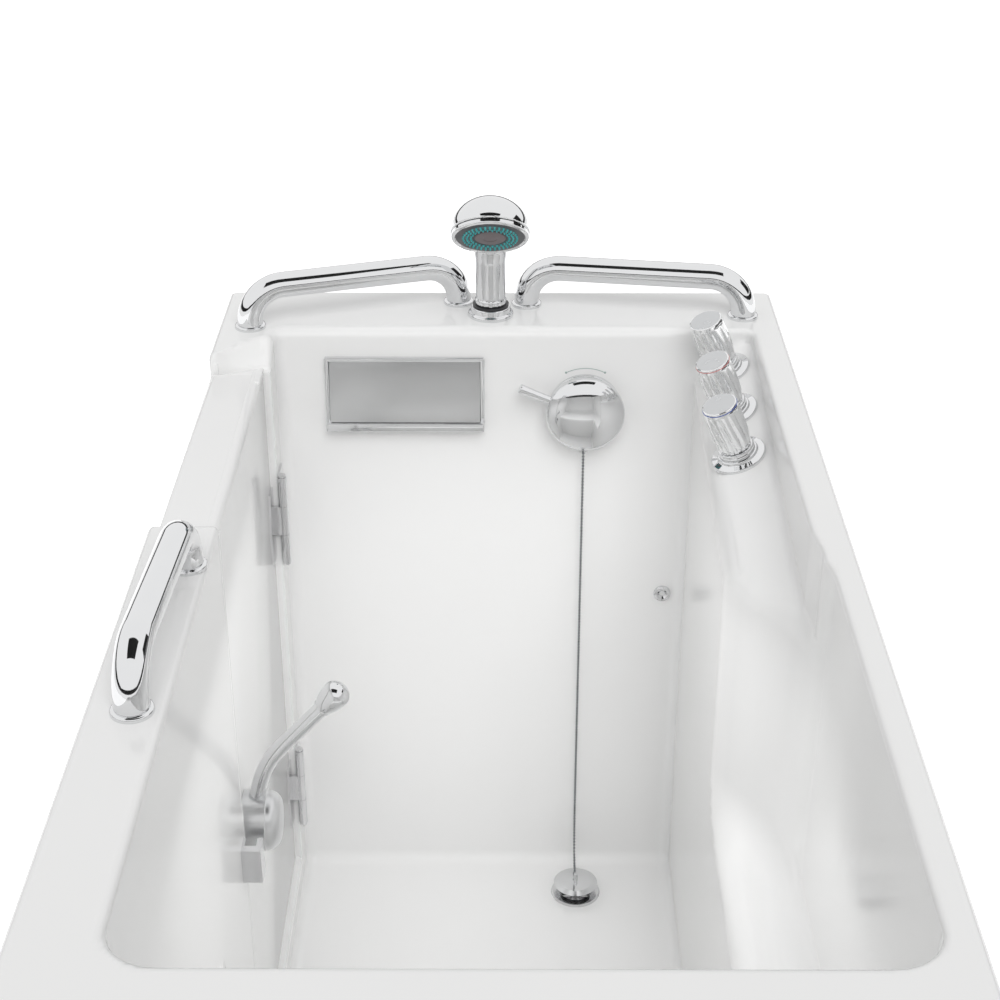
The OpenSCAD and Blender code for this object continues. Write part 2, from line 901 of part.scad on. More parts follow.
pipe_r = 9;
pipe_x = frame_x - 30;
inlet_z = 150;
manifold = [for (i = [-1:1]) valve_low(i) + 8 * valve_axis()];

// Each supply drops from its valve to a threaded stub
module supply(i) {
    top = valve_low(i);
    bend = [pipe_x, top.y, top.z - 46];
    color([0.78, 0.55, 0.35]) {
        pipe([top + 3 * valve_axis(), top - 12 * valve_axis(), bend,
            [pipe_x, top.y, inlet_z + inlet_l]], pipe_r);
        translate([pipe_x, top.y, inlet_z])
            cylinder(r = inlet_r, h = inlet_l);
        translate([pipe_x, top.y, inlet_z + inlet_l])
            cylinder(r = 15, h = 9, $fn = 6);
    }
}

module diverter_valve() {
    valve_body(1);
}

module hot_valve() {
    difference() {
        union() {
            valve_body(0);
            supply(0);
        }
        on_ledge(0)
            translate([0, 0, -shell_t - 30])
                cylinder(r = stem_hole, h = 60);
    }
}

module cold_valve() {
    difference() {
        union() {
            valve_body(-1);
            supply(-1);
        }
        on_ledge(-1)
            translate([0, 0, -shell_t - 30])
                cylinder(r = stem_hole, h = 60);
    }
}

// The mixed water runs from valve to valve and on to the diverter
module mixer_pipe() {
    color([0.78, 0.55, 0.35])
    difference() {
        pipe([manifold[0], manifold[1], manifold[2]], pipe_r);
        for (i = [-1:1])
            on_ledge(i)
                translate([0, 0, -shell_t - valve_len - 20])
                    cylinder(r = 17 + fit, h = valve_len + 20);
    }
}

run_back = 64;
run_y = foot_y + shell_t + run_back;
spout_drop = 40;

module spout_pipe() {
    start = manifold[2];
    y = foot_y + shell_t + 20;
    z = spout_z - spout_h / 2 - spout_drop;
    color([0.78, 0.55, 0.35])
    difference() {
        union() {
            pipe([start, [start.x, run_y, start.z], [spout_x, run_y, start.z],
                [spout_x, run_y, z], [spout_x, y, z], [spout_x, y, z + 14]], pipe_r);
            translate([spout_x, y, z + 12])
                cylinder(r = inlet_r, h = 14);
        }
        on_ledge(1)
            translate([0, 0, -shell_t - valve_len - 20])
                cylinder(r = 17 + fit, h = valve_len + 20);
    }
}

// The shower feed ends in a nipple under the deck, where a hose screws on
nipple_side = 60;
nipple_drop = 63;
nipple_x = shower_x + nipple_side;
nipple_z = spout_z - nipple_drop;

module shower_feed_pipe() {
    low = valve_low(1);
    turn = low - 22 * valve_axis();
    color([0.78, 0.55, 0.35]) {
        pipe([low, turn, [turn.x, run_y, turn.z], [nipple_x, run_y, turn.z],
            [nipple_x, run_y, nipple_z]], pipe_r - 1);
        translate([nipple_x, run_y, nipple_z - inlet_l])
            cylinder(r = inlet_r, h = inlet_l);
        translate([nipple_x, run_y, nipple_z])
            cylinder(r = 14, h = 8);
    }
}

module valve_rings() {
    color([0.82, 0.83, 0.85])
    for (i = [-1:1])
        on_ledge(i)
            difference() {
                rotate_extrude()
                    polygon([[0, 0], [ring_r, 0], [ring_r, 2], [ring_r - 2, 4], [24, 5],
                        [22, 6], [22, 15], [21, 16], [0, 16]]);
                translate([0, 0, -thru])
                    cylinder(r = stem_hole, h = 20);
            }
}

module fluted_knob(i, cap_r) {
    z0 = 16 + face_gap;
    color([0.85, 0.87, 0.9])
    on_ledge(i) {
        translate([0, 0, -shell_t - 20])
            cylinder(r = stem_hole - fit, h = 50);
        difference() {
            translate([0, 0, z0])
                rotate_extrude()
                    polygon([[0, 0], [knob_r - 3, 0], [knob_r - 1, 5], [knob_r, knob_h * 0.6],
                        [knob_r - 0.5, knob_h - 6], [knob_r - 3, knob_h - 1.5], [cap_r, knob_h],
                        [cap_r, knob_h + 2], [cap_r - 1.5, knob_h + 3.5], [0, knob_h + 3.5]]);
            for (a = [0:30:330])
                rotate([0, 0, a])
                    translate([knob_r + 2.2, 0, z0 - thru])
                        cylinder(r = 4, h = knob_h - 5);
            if (i < 1)
                translate([0, 0, z0 + knob_h + 2.5])
                    difference() {
                        cylinder(r = 14, h = 4);
                        translate([0, 0, -thru])
                            cylinder(r = 11.5, h = 6);
                    }
        }
    }
}

module index_ring(i, tone) {
    color(tone)
    on_ledge(i)
        translate([0, 0, 16 + face_gap + knob_h + 2.5])
            difference() {
                cylinder(r = 14, h = 1.3);
                translate([0, 0, -thru])
                    cylinder(r = 11.5, h = 4);
            }
}

// ---- drain control, waste and chain ----

module drain_ring() {
    color([0.82, 0.83, 0.85])
    on_foot_wall(drain_x, dome_z)
        difference() {
            union() {
                cylinder(r = dome_r - 2, h = ring_t);
                translate([0, 0, -shell_t - 3])
                    cylinder(r = 23.5, h = shell_t + 4);
            }
            translate([0, 0, -shell_t - 4])
                cylinder(r = stem_r + fit, h = 30);
            for (a = [30:60:330])
                rotate([0, 0, a])
                    translate([16, 0, -shell_t - 4])
                        cylinder(r = 4, h = 30);
        }
}

module drain_dome() {
    color([0.82, 0.83, 0.85])
    on_foot_wall(drain_x, dome_z) {
        translate([0, 0, -shell_t - 8])
            cylinder(r = stem_r, h = shell_t + ring_t + 10);
        translate([0, 0, ring_t + face_gap])
            rotate_extrude()
                polygon([[0, 0], [dome_r - 3, 0], [dome_r, 3], [dome_r, 12],
                    for (a = [12:12:90]) [dome_r * cos(a), 12 + (dome_h - 18.3) * sin(a)]]);
        rotate([0, 0, 180 - lever_angle])
            translate([dome_r - 8, 0, ring_t + 10])
                rotate([0, 90, 0]) {
                    cylinder(r = 4.2, h = 8 + lever_l - 12);
                    translate([0, 0, 8 + lever_l - 20])
                        cylinder(r1 = 4.2, r2 = 5.6, h = 17);
                    translate([0, 0, 8 + lever_l - 3])
                        cylinder(r1 = 5.6, r2 = 4.6, h = 3);
                }
    }
}

waste_z = 62;

module waste_body() {
    color([0.75, 0.75, 0.77])
    translate([drain_x, drain_y, 0])
        difference() {
            union() {
                translate([0, 0, floor_z])
                    cylinder(r1 = waste_r, r2 = waste_r - 2, h = 3);
                translate([0, 0, waste_z])
                    cylinder(r = waste_r - 8.3, h = floor_z - waste_z + 1);
                translate([0, 0, shell_under - 9])
                    cylinder(r = waste_r, h = 9);
                translate([0, 0, waste_z - 34])
                    cylinder(r = outlet_r, h = 36);
                translate([0, 0, waste_z + 16])
                    rotate([-90, 0, 0])
                        cylinder(r = 15.5, h = waste_r + 8);
            }
            translate([0, 0, waste_z + 4])
                cylinder(r = waste_r - 12, h = floor_z);
            translate([0, 0, waste_z - 36])
                cylinder(r = outlet_r - 2.5, h = 60);
            translate([0, 0, waste_z + 16])
                rotate([-90, 0, 0])
                    cylinder(r = 13, h = waste_r + 12);
        }
    color([0.75, 0.75, 0.77])
    translate([drain_x, drain_y, floor_z - 14]) {
        difference() {
            union() {
                cylinder(r = 7, h = 10);
                for (a = [0:60:300])
                    rotate([0, 0, a])
                        translate([0, -1.5, 0])
                            cube([waste_r - 11, 3, 5]);
            }
            translate([0, 0, -thru])
                cylinder(r = 4 + fit, h = 14);
        }
    }
}

// The stopper's stem slides in the strainer's middle
module stopper() {
    color([0.82, 0.83, 0.85])
    translate([drain_x, drain_y, floor_z + rise]) {
        translate([0, 0, -rise - 22])
            cylinder(r = 4, h = rise + 24);
        translate([0, 0, 3.4])
            rotate_extrude()
                polygon([[0, 0], [waste_r - 5, 0], [waste_r - 4, 1.5], [waste_r - 12, 4.5],
                    [4, 6], [0, 6]]);
        translate([0, 0, 0.9])
            cylinder(r = waste_r - 13, h = 3);
        translate([0, 0, 9])
            cylinder(r = 3, h = eye_z - floor_z - rise - 4);
    }
}

module overflow_pipe() {
    tee_z = waste_z + 16;
    color([0.9, 0.9, 0.88])
    difference() {
        union() {
            pipe([[drain_x, drain_y + waste_r + 8, tee_z], [drain_x, overflow_y, tee_z],
                [drain_x, overflow_y, dome_z], [drain_x, foot_y + shell_t + 3, dome_z]], elbow_r);
            on_foot_wall(drain_x, dome_z)
                translate([0, 0, -shell_t - 12])
                    cylinder(r = 32, h = 12);
        }
        on_foot_wall(drain_x, dome_z)
            translate([0, 0, -shell_t - 18])
                cylinder(r = 23.8, h = 30);
    }
}

// The control's pull cable runs down beside the overflow pipe
module drain_cable() {
    x = drain_x + 34;
    tee_z = waste_z + 16;
    color([0.15, 0.15, 0.16])
    pipe([[drain_x + elbow_r + face_gap, overflow_y, dome_z - 40], [x, overflow_y, dome_z - 40],
        [x, overflow_y, tee_z + 26], [x, drain_y + 40, tee_z], [x, drain_y, tee_z],
        [drain_x + waste_r - 8, drain_y, tee_z]], cable_r);
}

module jet_fitting() {
    color([0.7, 0.71, 0.73])
    on_foot_wall(jet_x, jet_z)
        difference() {
            union() {
                rotate_extrude()
                    polygon([[0, 0], [jet_r, 0], [jet_r, 2], [jet_r - 3, 5], [0, 5]]);
                translate([0, 0, -shell_t - 22])
                    cylinder(r = 7.8, h = shell_t + 23);
                translate([0, 0, -shell_t - 8])
                    cylinder(r = 14, h = 8, $fn = 6);
            }
            translate([0, 0, -shell_t - 24])
                cylinder(r = 4, h = 40);
            translate([0, 0, 3])
                cylinder(r1 = 4, r2 = 7, h = 3);
        }
}

module chain_clip() {
    color([0.7, 0.71, 0.73])
    translate([chain_x, foot_y, clip_z]) {
        translate([-5, -3, -8])
            cube([10, 3, 12]);
        translate([-2, -14, 0])
            cube([4, 12, 2]);
        translate([-2, -14, 0])
            cube([4, 4.5, 3]);
    }
}

// A tube swept along a route through hand-set points, eased by a spline
function spline(p, i, t) =
    let (a = p[max(i - 1, 0)], b = p[i], c = p[i + 1], d = p[min(i + 2, len(p) - 1)])
    0.5 * (2 * b + t * (c - a) + t * t * (2 * a - 5 * b + 4 * c - d)
        + t * t * t * (3 * b - a - 3 * c + d));

module swept_tube(p, r, sides, steps) {
    path = [for (i = [0:len(p) - 2], k = [0:steps[i] - 1]) spline(p, i, k / steps[i]),
        p[len(p) - 1]];
    n = len(path);
    rings = [for (i = [0:n - 1])
        let (t = path[min(i + 1, n - 1)] - path[max(i - 1, 0)],
            w = t / norm(t),
            u = [1, 0, 0],
            v = cross(w, u))
        for (k = [0:sides - 1])
            path[i] + r * (u * cos(360 * k / sides) + v * sin(360 * k / sides))];
    sides_f = [for (i = [0:n - 2], k = [0:sides - 1])
        let (k2 = (k + 1) % sides)
        [i * sides + k, (i + 1) * sides + k, (i + 1) * sides + k2, i * sides + k2]];
    ends = [[for (k = [0:sides - 1]) k], [for (k = [sides - 1:-1:0]) (n - 1) * sides + k]];
    polyhedron(rings, concat(sides_f, ends));
}

module bead_chain() {
    steps = [for (i = [0:len(chain_pts) - 2])
        max(1, round(norm(chain_pts[i + 1] - chain_pts[i]) / 9.5))];
    color([0.75, 0.76, 0.78])
        swept_tube(chain_pts, chain_r, 8, steps);
}

// ---- door, hinges and latch ----

module door_panel() {
    color([0.95, 0.95, 0.95])
    difference() {
        block([flange_x, face_x], [door_y0, door_y1], [sill_z + door_gap, door_z]);
        translate([flange_x - thru, latch_y, spindle_z])
            rotate([0, 90, 0])
                cylinder(r = 8 + fit, h = flange_t + 2 * thru);
    }
}

module body_outline(inset) {
    polygon([[flange_x, body_y0 + inset], [flange_x, body_y1 - inset],
        [outer_x + inset, body_y1 - inset], [outer_x + inset, body_y0 + body_taper + inset]]);
}

module door_outer_skin() {
    color([0.95, 0.95, 0.95])
    difference() {
        translate([0, 0, body_z])
            linear_extrude(door_z - body_z)
                body_outline(0);
        translate([0, 0, body_z + skin_t])
            linear_extrude(door_z - body_z - 2 * skin_t)
                body_outline(skin_t);
        translate([flange_x - 16, latch_y, spindle_z])
            rotate([0, 90, 0])
                cylinder(r = 12, h = 20);
    }
}

module door_core() {
    color([0.85, 0.8, 0.55])
    difference() {
        translate([0, 0, body_z + skin_t])
            linear_extrude(door_z - body_z - 2 * skin_t)
                body_outline(skin_t);
        translate([flange_x - 16, latch_y, spindle_z])
            rotate([0, 90, 0])
                cylinder(r = 12, h = 20);
    }
}

// Three knuckles: the outer two belong to the wall leaf, the middle one to the door leaf
knuckle = leaf_h / 3;

module knuckles(zs) {
    for (z = zs)
        translate([hinge_x, hinge_y, z + face_gap / 2])
            cylinder(r = barrel_r, h = knuckle - face_gap);
}

module hinge_wall_leaves() {
    color([0.78, 0.79, 0.81])
    for (h = hinge_zs) {
        z = sill_z + h - leaf_h / 2;
        difference() {
            union() {
                knuckles([z, z + 2 * knuckle]);
                for (k = [0, 2])
                    block([well_x, hinge_x], [hinge_y, hinge_y + barrel_r + leaf_w],
                        [z + k * knuckle + face_gap / 2, z + (k + 1) * knuckle - face_gap / 2]);
                block([well_x, well_x + leaf_t], [jamb_y1, jamb_y1 + leaf_w], [z, z + leaf_h]);
            }
            block([well_x + leaf_t, rim_x], [hinge_y + barrel_r - 1, foot_y],
                [z - thru, z + leaf_h + thru]);
            block([well_x - thru, rim_x], [rebate_y1 - 20, jamb_y1],
                [z + knuckle, z + 2 * knuckle]);
            translate([hinge_x, hinge_y, z - thru])
                cylinder(r = pin_d / 2 + fit, h = leaf_h + 2 * thru);
        }
    }
}

module hinge_door_leaves() {
    color([0.78, 0.79, 0.81])
    for (h = hinge_zs) {
        z = sill_z + h - leaf_h / 2;
        difference() {
            union() {
                knuckles([z + knuckle]);
                block([face_x, hinge_x], [hinge_y - barrel_r + 1, hinge_y],
                    [z + knuckle + face_gap / 2, z + 2 * knuckle - face_gap / 2]);
                translate([face_x, 0, 0])
                    rotate([90, 0, 90])
                        linear_extrude(leaf_t)
                            polygon([[hinge_y - barrel_r + 1, z + 12],
                                [hinge_y - barrel_r + 1, z + leaf_h - 12],
                                [hinge_y - leaf_w, z + leaf_h - 12],
                                [hinge_y - leaf_w - 10, z + leaf_h / 2],
                                [hinge_y - leaf_w, z + 12]]);
            }
            translate([hinge_x, hinge_y, z - thru])
                cylinder(r = pin_d / 2 + fit, h = leaf_h + 2 * thru);
        }
    }
}

module hinge_pins() {
    color([0.85, 0.85, 0.87])
    for (h = hinge_zs)
        translate([hinge_x, hinge_y, sill_z + h - leaf_h / 2]) {
            cylinder(r = pin_d / 2, h = leaf_h);
            for (z = [-3, leaf_h])
                translate([0, 0, z])
                    cylinder(r = barrel_r - 1, h = 3);
        }
}

// The hub, its spindle through the door's flange, and the finger that turns
// in behind the keeper on the wall
module latch_hub() {
    color([0.8, 0.81, 0.83])
    translate([hub_x, latch_y, spindle_z])
        rotate([0, 90, 0]) {
            translate([0, 0, -flange_t - 4])
                cylinder(r = 8, h = flange_t + 8);
            translate([0, 0, -flange_t - 8])
                cylinder(r = 11, h = 6);
            rotate_extrude()
                polygon([[0, 0], [hub_r, 0], [hub_r, hub_h - 6], [hub_r - 2, hub_h - 2],
                    [hub_r - 6, hub_h], [0, hub_h]]);
            translate([0, -8, finger_x - hub_x - 3])
                cube([finger_l, 16, 5]);
        }
}

// The lever leaves the hub's rim and leans into the well
lever_lean = 41.5;
lever_r = 8;
lever_foot = [hub_x + hub_h / 2, latch_y, spindle_z + hub_r - 3];
lever_knee = lever_foot + [22, 0, 60];
lever_grip = 98;
lever_top = lever_knee + lever_grip * [sin(lever_lean), 0, cos(lever_lean)];

module latch_lever() {
    color([0.8, 0.81, 0.83])
    difference() {
        pipe([lever_foot, lever_foot + [6, 0, 30], lever_knee, lever_top], lever_r);
        translate([hub_x - thru, latch_y, spindle_z])
            rotate([0, 90, 0])
                cylinder(r = hub_r, h = hub_h + 20);
    }
}

module latch_knob() {
    color([0.82, 0.83, 0.85])
    translate(lever_top)
        rotate([0, lever_lean, 0])
            difference() {
                rotate_extrude()
                    polygon([[0, -14], [9, -14], [12, -8], [15.5, 4], [16, 11],
                        for (a = [0:15:90]) [16 * cos(a), 12 + 13 * sin(a)]]);
                translate([0, 0, -14 - thru])
                    cylinder(r = lever_r + fit, h = 14 + thru);
            }
}

keeper_y = jamb_y0 - 6;

module latch_keeper() {
    w = 44;
    color([0.78, 0.79, 0.81])
    translate([well_x, keeper_y, spindle_z])
        difference() {
            translate([0, -24, -w / 2])
                cube([22, 24, w]);
            translate([3, -14, -w / 2 - thru])
                cube([13, 20, w + 2 * thru]);
        }
}

// ---- feet ----

module foot_nuts() {
    color([0.6, 0.6, 0.62])
    for (i = [0:3])
        translate([foot_pos(i).x, foot_pos(i).y, rail_z - 10])
            difference() {
                cylinder(r = stud_r + 5, h = 10, $fn = 6);
                translate([0, 0, -thru])
                    cylinder(r = stud_r + fit, h = 12, $fn = 48);
            }
}

module levelling_foot(i) {
    color([0.25, 0.25, 0.26])
    translate([foot_pos(i).x, foot_pos(i).y, 0]) {
        rotate_extrude()
            polygon([[0, 0], [pad_r, 0], [pad_r, pad_h - 4], [pad_r - 6, pad_h], [0, pad_h]]);
        cylinder(r = stud_r, h = rail_top - tube_t - 2);
        translate([0, 0, pad_h])
            cylinder(r = stud_r + 3, h = 7, $fn = 6);
    }
}

tub_shell();
door_jamb();
door_seal();
base_board();
base_rails();
frame_posts();
top_rails();
seat_bearers();
door_side_skirt();
end_skirt(frame_y);  // foot_end_skirt
end_skirt(-frame_y);  // seat_end_skirt
skirt_screws();
grab_bar(far_left);  // far_left_grab_bar
grab_bar(far_right);  // far_right_grab_bar
grab_bar(near_left);  // near_left_grab_bar
bar_flanges();
bar_studs();
shower_deck_plate();
shower_feed_pipe();
spout_frame();
spout_panel();
spout_tank();
spout_pipe();
diverter_valve();
hot_valve();
cold_valve();
valve_rings();
mixer_pipe();
drain_ring();
drain_cable();
waste_body();
overflow_pipe();
jet_fitting();
chain_clip();
bead_chain();
hinge_wall_leaves();
hinge_pins();
latch_keeper();
foot_nuts();
door_panel();
door_outer_skin();
door_core();
hinge_door_leaves();
latch_hub();
latch_lever();
latch_knob();
drain_dome();
stopper();
fluted_knob(1, 16);  // diverter_knob
fluted_knob(0, 16);  // hot_knob
fluted_knob(-1, 16);  // cold_knob
index_ring(0, [0.75, 0.12, 0.1]);  // hot_index_ring
index_ring(-1, [0.1, 0.2, 0.65]);  // cold_index_ring
shower_bush();
hand_shower();
spray_ring();
levelling_foot(0);  // foot_a
levelling_foot(1);  // foot_b
levelling_foot(2);  // foot_c
levelling_foot(3);  // foot_d
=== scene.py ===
# %% [markdown]
# # A walk-in bathtub with a door
#
# The real object is a deep moulded acrylic tub with a seat, a door that swings inward, chrome
# grab bars, a deck-mounted hand shower, a waterfall spout, three clear knobs and a drain control
# with a bead chain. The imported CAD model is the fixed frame. Hidden metalwork and pipes keep
# their CAD shape and get a finish; what the eye lands on is remade here with softer forms.

import json
import math

import bmesh
import bpy
from mathutils import Matrix, Vector


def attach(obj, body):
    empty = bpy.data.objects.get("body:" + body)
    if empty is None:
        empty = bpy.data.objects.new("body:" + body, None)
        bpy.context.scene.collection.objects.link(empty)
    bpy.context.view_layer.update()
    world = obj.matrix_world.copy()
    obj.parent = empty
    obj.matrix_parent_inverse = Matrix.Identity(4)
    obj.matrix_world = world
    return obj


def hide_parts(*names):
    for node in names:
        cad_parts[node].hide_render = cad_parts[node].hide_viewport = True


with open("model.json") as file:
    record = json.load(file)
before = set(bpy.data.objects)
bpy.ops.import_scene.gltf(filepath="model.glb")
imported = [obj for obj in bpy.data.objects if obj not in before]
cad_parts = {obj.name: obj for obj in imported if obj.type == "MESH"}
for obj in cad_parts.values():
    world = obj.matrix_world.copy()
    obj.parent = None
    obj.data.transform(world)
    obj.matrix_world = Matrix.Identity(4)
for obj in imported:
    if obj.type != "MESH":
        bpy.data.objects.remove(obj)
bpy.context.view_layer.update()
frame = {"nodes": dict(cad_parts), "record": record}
nodes = frame["nodes"]
mm = 0.001
bpy.ops.object.select_all(action="DESELECT")

# %% [markdown]
# ## The camera
#
# It stands above the seat end and looks down along the tub at the taps. Its height, tilt and
# lens were solved from the converging edges of the rim and the plumb line of the chain.

# %% Camera
CAMERA_AT = (0.0082, -1.584, 1.872)
LOOKS_DOWN = 28.4
TURNED_LEFT = 0.22
LENS = 65.9
bpy.ops.object.camera_add(
    location=CAMERA_AT,
    rotation=(math.radians(90 - LOOKS_DOWN), 0, math.radians(TURNED_LEFT)),
)
camera = bpy.context.object
camera.name = "studio_camera"
camera.data.lens = LENS
camera.data.sensor_width = 36
camera.data.clip_start = 0.05
bpy.context.scene.camera = camera
print("camera", CAMERA_AT, "lens", LENS)

# %% [markdown]
# ## The bead chain
#
# A ball chain hangs from the clip under the drain control, straight down the foot wall, and turns
# in to the stopper's eye. Each bead is one small ball, and a thin wire runs through them all. One
# ball is copied into a single mesh at every spot, which is much quicker than an object for each.
# It is a cord, so it comes first and follows the same route as its CAD solid.

# %% Chain route
CHAIN_X, CHAIN_Y = 0.108, 0.533
CHAIN_TOP, EYE_Z = 0.801, 0.145
CHAIN_DIAMETER = 0.0038
BEAD_PITCH = 0.0046
WIRE_RADIUS = 0.0006
TURN = [(0, 110), (0, 80), (2, 52), (8, 26), (18, 10), (31, 3), (43, 0.5), (50, 0), (56.7, 0)]
HANG, HANG_STEPS = CHAIN_TOP - EYE_Z - TURN[0][1] * mm, 8


def eased(points, steps):
    """Points along a smooth curve through given ones."""
    out = []
    last = len(points) - 1
    for i in range(last):
        a, b = points[max(i - 1, 0)], points[i]
        c, d = points[i + 1], points[min(i + 2, last)]
        for k in range(steps):
            t = k / steps
            out.append(0.5 * (2 * b + t * (c - a) + t * t * (2 * a - 5 * b + 4 * c - d)
                              + t ** 3 * (3 * b - a - 3 * c + d)))
    return out + [points[-1]]


def evenly(points, pitch):
    """The same line cut into even steps."""
    out, gone = [points[0]], 0.0
    for a, b in zip(points, points[1:]):
        run = (b - a).length
        while gone + run >= pitch:
            a = a.lerp(b, (pitch - gone) / run)
            out.append(a)
            run, gone = (b - a).length, 0.0
        gone += run
    return out


chain_knots = [Vector((CHAIN_X, CHAIN_Y, CHAIN_TOP - k * HANG / HANG_STEPS))
               for k in range(HANG_STEPS)]
chain_knots += [Vector((CHAIN_X, CHAIN_Y - y * mm, EYE_Z + z * mm)) for y, z in TURN]
chain_line = evenly(eased(chain_knots, 12), BEAD_PITCH)


# %% Helpers for selecting and naming
def select_only(piece):
    """Nothing else is selected, so that an operator acts on this piece alone."""
    bpy.ops.object.select_all(action="DESELECT")
    piece.select_set(True)
    bpy.context.view_layer.objects.active = piece


def named(piece, name):
    """Gives the object and its mesh one name."""
    piece.name = name
    piece.data.name = name
    return piece


def settle(piece):
    """The piece's place goes into its mesh, and its object stays at the origin."""
    select_only(piece)
    bpy.ops.object.transform_apply(location=True, rotation=True, scale=True)
    return piece


def joined(name, pieces):
    """Several pieces made one."""
    select_only(pieces[0])
    for piece in pieces[1:]:
        piece.select_set(True)
    if len(pieces) > 1:
        bpy.ops.object.join()
    return named(bpy.context.view_layer.objects.active, name)


def smooth(piece, angle=35):
    """Soft shading, with the edges past the angle kept sharp."""
    select_only(piece)
    bpy.ops.object.shade_smooth_by_angle(angle=math.radians(angle))
    return piece


def modified(piece, kind, **settings):
    """Adds one modifier and applies it."""
    select_only(piece)
    modifier = piece.modifiers.new(kind.lower(), kind)
    for key, value in settings.items():
        setattr(modifier, key, value)
    bpy.ops.object.modifier_apply(modifier=modifier.name)
    return piece


def turned_to(axis):
    """The turn that lays local Z along an axis."""
    return Vector(axis).normalized().to_track_quat("Z", "Y").to_matrix().to_4x4()


def placed(name, data):
    """A new object for a mesh or a curve, and the only one selected."""
    piece = bpy.data.objects.new(name, data)
    bpy.context.scene.collection.objects.link(piece)
    select_only(piece)
    return piece


# %% Helpers for round pieces
def turned(name, profile, at=(0, 0, 0), axis=(0, 0, 1), steps=72):
    """A profile of (radius, height) in millimetres, spun round an axis."""
    mesh = bpy.data.meshes.new(name)
    points = [(r * mm, 0, h * mm) for r, h in profile]
    mesh.from_pydata(points, [(i, i + 1) for i in range(len(points) - 1)], [])
    piece = placed(name, mesh)
    bpy.ops.object.mode_set(mode="EDIT")
    bpy.ops.mesh.select_all(action="SELECT")
    bpy.ops.mesh.spin(steps=steps, angle=2 * math.pi, center=(0, 0, 0), axis=(0, 0, 1))
    bpy.ops.mesh.select_all(action="SELECT")
    bpy.ops.mesh.remove_doubles(threshold=1e-6)
    bpy.ops.mesh.normals_make_consistent(inside=False)
    bpy.ops.object.mode_set(mode="OBJECT")
    piece.matrix_world = Matrix.Translation(at) @ turned_to(axis)
    return smooth(settle(piece))


def arc(cx, cy, r, start, stop, steps, rise=None):
    """Profile points round a centre in millimetres, between two angles in degrees."""
    turns = [math.radians(start + (stop - start) * k / steps) for k in range(steps + 1)]
    return [(cx + r * math.cos(t), cy + (rise or r) * math.sin(t)) for t in turns]


def tube(name, points, radius, sides=12):
    """A round tube along points, in metres."""
    curve = bpy.data.curves.new(name, "CURVE")
    curve.dimensions = "3D"
    curve.bevel_depth = radius
    curve.bevel_resolution = sides
    curve.use_fill_caps = True
    spline = curve.splines.new("POLY")
    spline.points.add(len(points) - 1)
    for point, place in zip(spline.points, points):
        point.co = (*place, 1)
    placed(name, curve)
    bpy.ops.object.convert(target="MESH")
    piece = bpy.context.view_layer.objects.active
    return smooth(named(piece, name), 50)


def finish_piece(piece, body, replaced=()):
    """The piece's body and the CAD nodes it stands for."""
    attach(piece, body)
    if replaced:
        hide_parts(*replaced)
    print(piece.name, "on", body, "faces", len(piece.data.polygons))
    return piece


# %% Make the chain
bpy.ops.mesh.primitive_uv_sphere_add(segments=8, ring_count=6, radius=CHAIN_DIAMETER / 2)
bead = bpy.context.object
chain_mesh = bmesh.new()
for spot in chain_line:
    start = len(chain_mesh.verts)
    chain_mesh.from_mesh(bead.data)
    chain_mesh.verts.ensure_lookup_table()
    bmesh.ops.translate(chain_mesh, vec=spot, verts=chain_mesh.verts[start:])
beads = placed("chain_beads", bpy.data.meshes.new("chain_beads"))
chain_mesh.to_mesh(beads.data)
chain_mesh.free()
bpy.data.objects.remove(bead)
wire = tube("chain_wire", chain_line, WIRE_RADIUS, sides=1)
bead_chain = smooth(joined("hanging_bead_chain", [beads, wire]), 60)
finish_piece(bead_chain, "tub", ["bead_chain"])

# %% [markdown]
# ## The moulded shell
#
# The real shell is one thermoformed acrylic sheet. Every wall runs into the next through a soft
# blend, and a mesh pushed and bevelled by hand kept creases where the seat, the footwell and the
# valve ledge meet. So the surface is written as a distance field: rounded hollows joined with
# blends and taken out of the rim's block. The field is walked on a grid that is finer where the
# walls bend, and each point is then drawn onto the exact surface and takes its shading from the
# field. All its numbers are millimetres.

# %% Sizes of the shell
import numpy as np

# The rim's half width and half length, its height, the roll of its edge and its plan corners.
RIM_X, RIM_Y, RIM_Z, RIM_ROLL, RIM_CORNER = 355.5, 673.0, 965.0, 7, 14
# The lower edge of the lip, the sheet's thickness, and the foot wall's.
LIP_Z, LIP_T, SHELL_T = 927.0, 5.0, 6.0
# The well's wall on the door side, then the footwell's other wall, foot wall, floor and roll.
WELL_X, FOOT_X, FOOT_Y, FLOOR_Z, FOOT_R = -284.0, 247.5, 545.0, 118.0, 16.0
# The seat's side wall, back, front edge, top and roll, and how far its walls lean out higher up.
SEAT_X, SEAT_BACK, SEAT_EDGE, SEAT_Z, SEAT_R = 323.5, -560, -150, 545.0, 45.0
FLARE_X, FLARE_Y, FLARE_Z = 4, 40, 590
# The doorway, the door's top, and the two levels of the hinge post under it.
DOOR_Y0, DOOR_Y1, DOOR_IN, DOOR_TOP, SILL_Z = 42.4, 479.6, -270, 940.0, 172.4
POST_TOP, STEP_Z = 922, 933
# The slanting seam between door and deck, and the soft ramp beside it.
SEAM_X, SEAM_Y, SEAM_SLANT, SEAM_END, SEAM_GAP = -329, 470.0, 0.45, 486, 1.5
RAMP_X, RAMP_RUN, RAMP_WIDENS = (-347, -300), 8, 0.72
# The valve ledge: a point on it, the way it faces, its width and where it starts.
LEDGE_AT = (281.0, 419.5, 910.5)
LEDGE_AXIS = (-0.36293, -0.13917, 0.92137)
LEDGE_X, LEDGE_START = (218.5, 317.5), -10
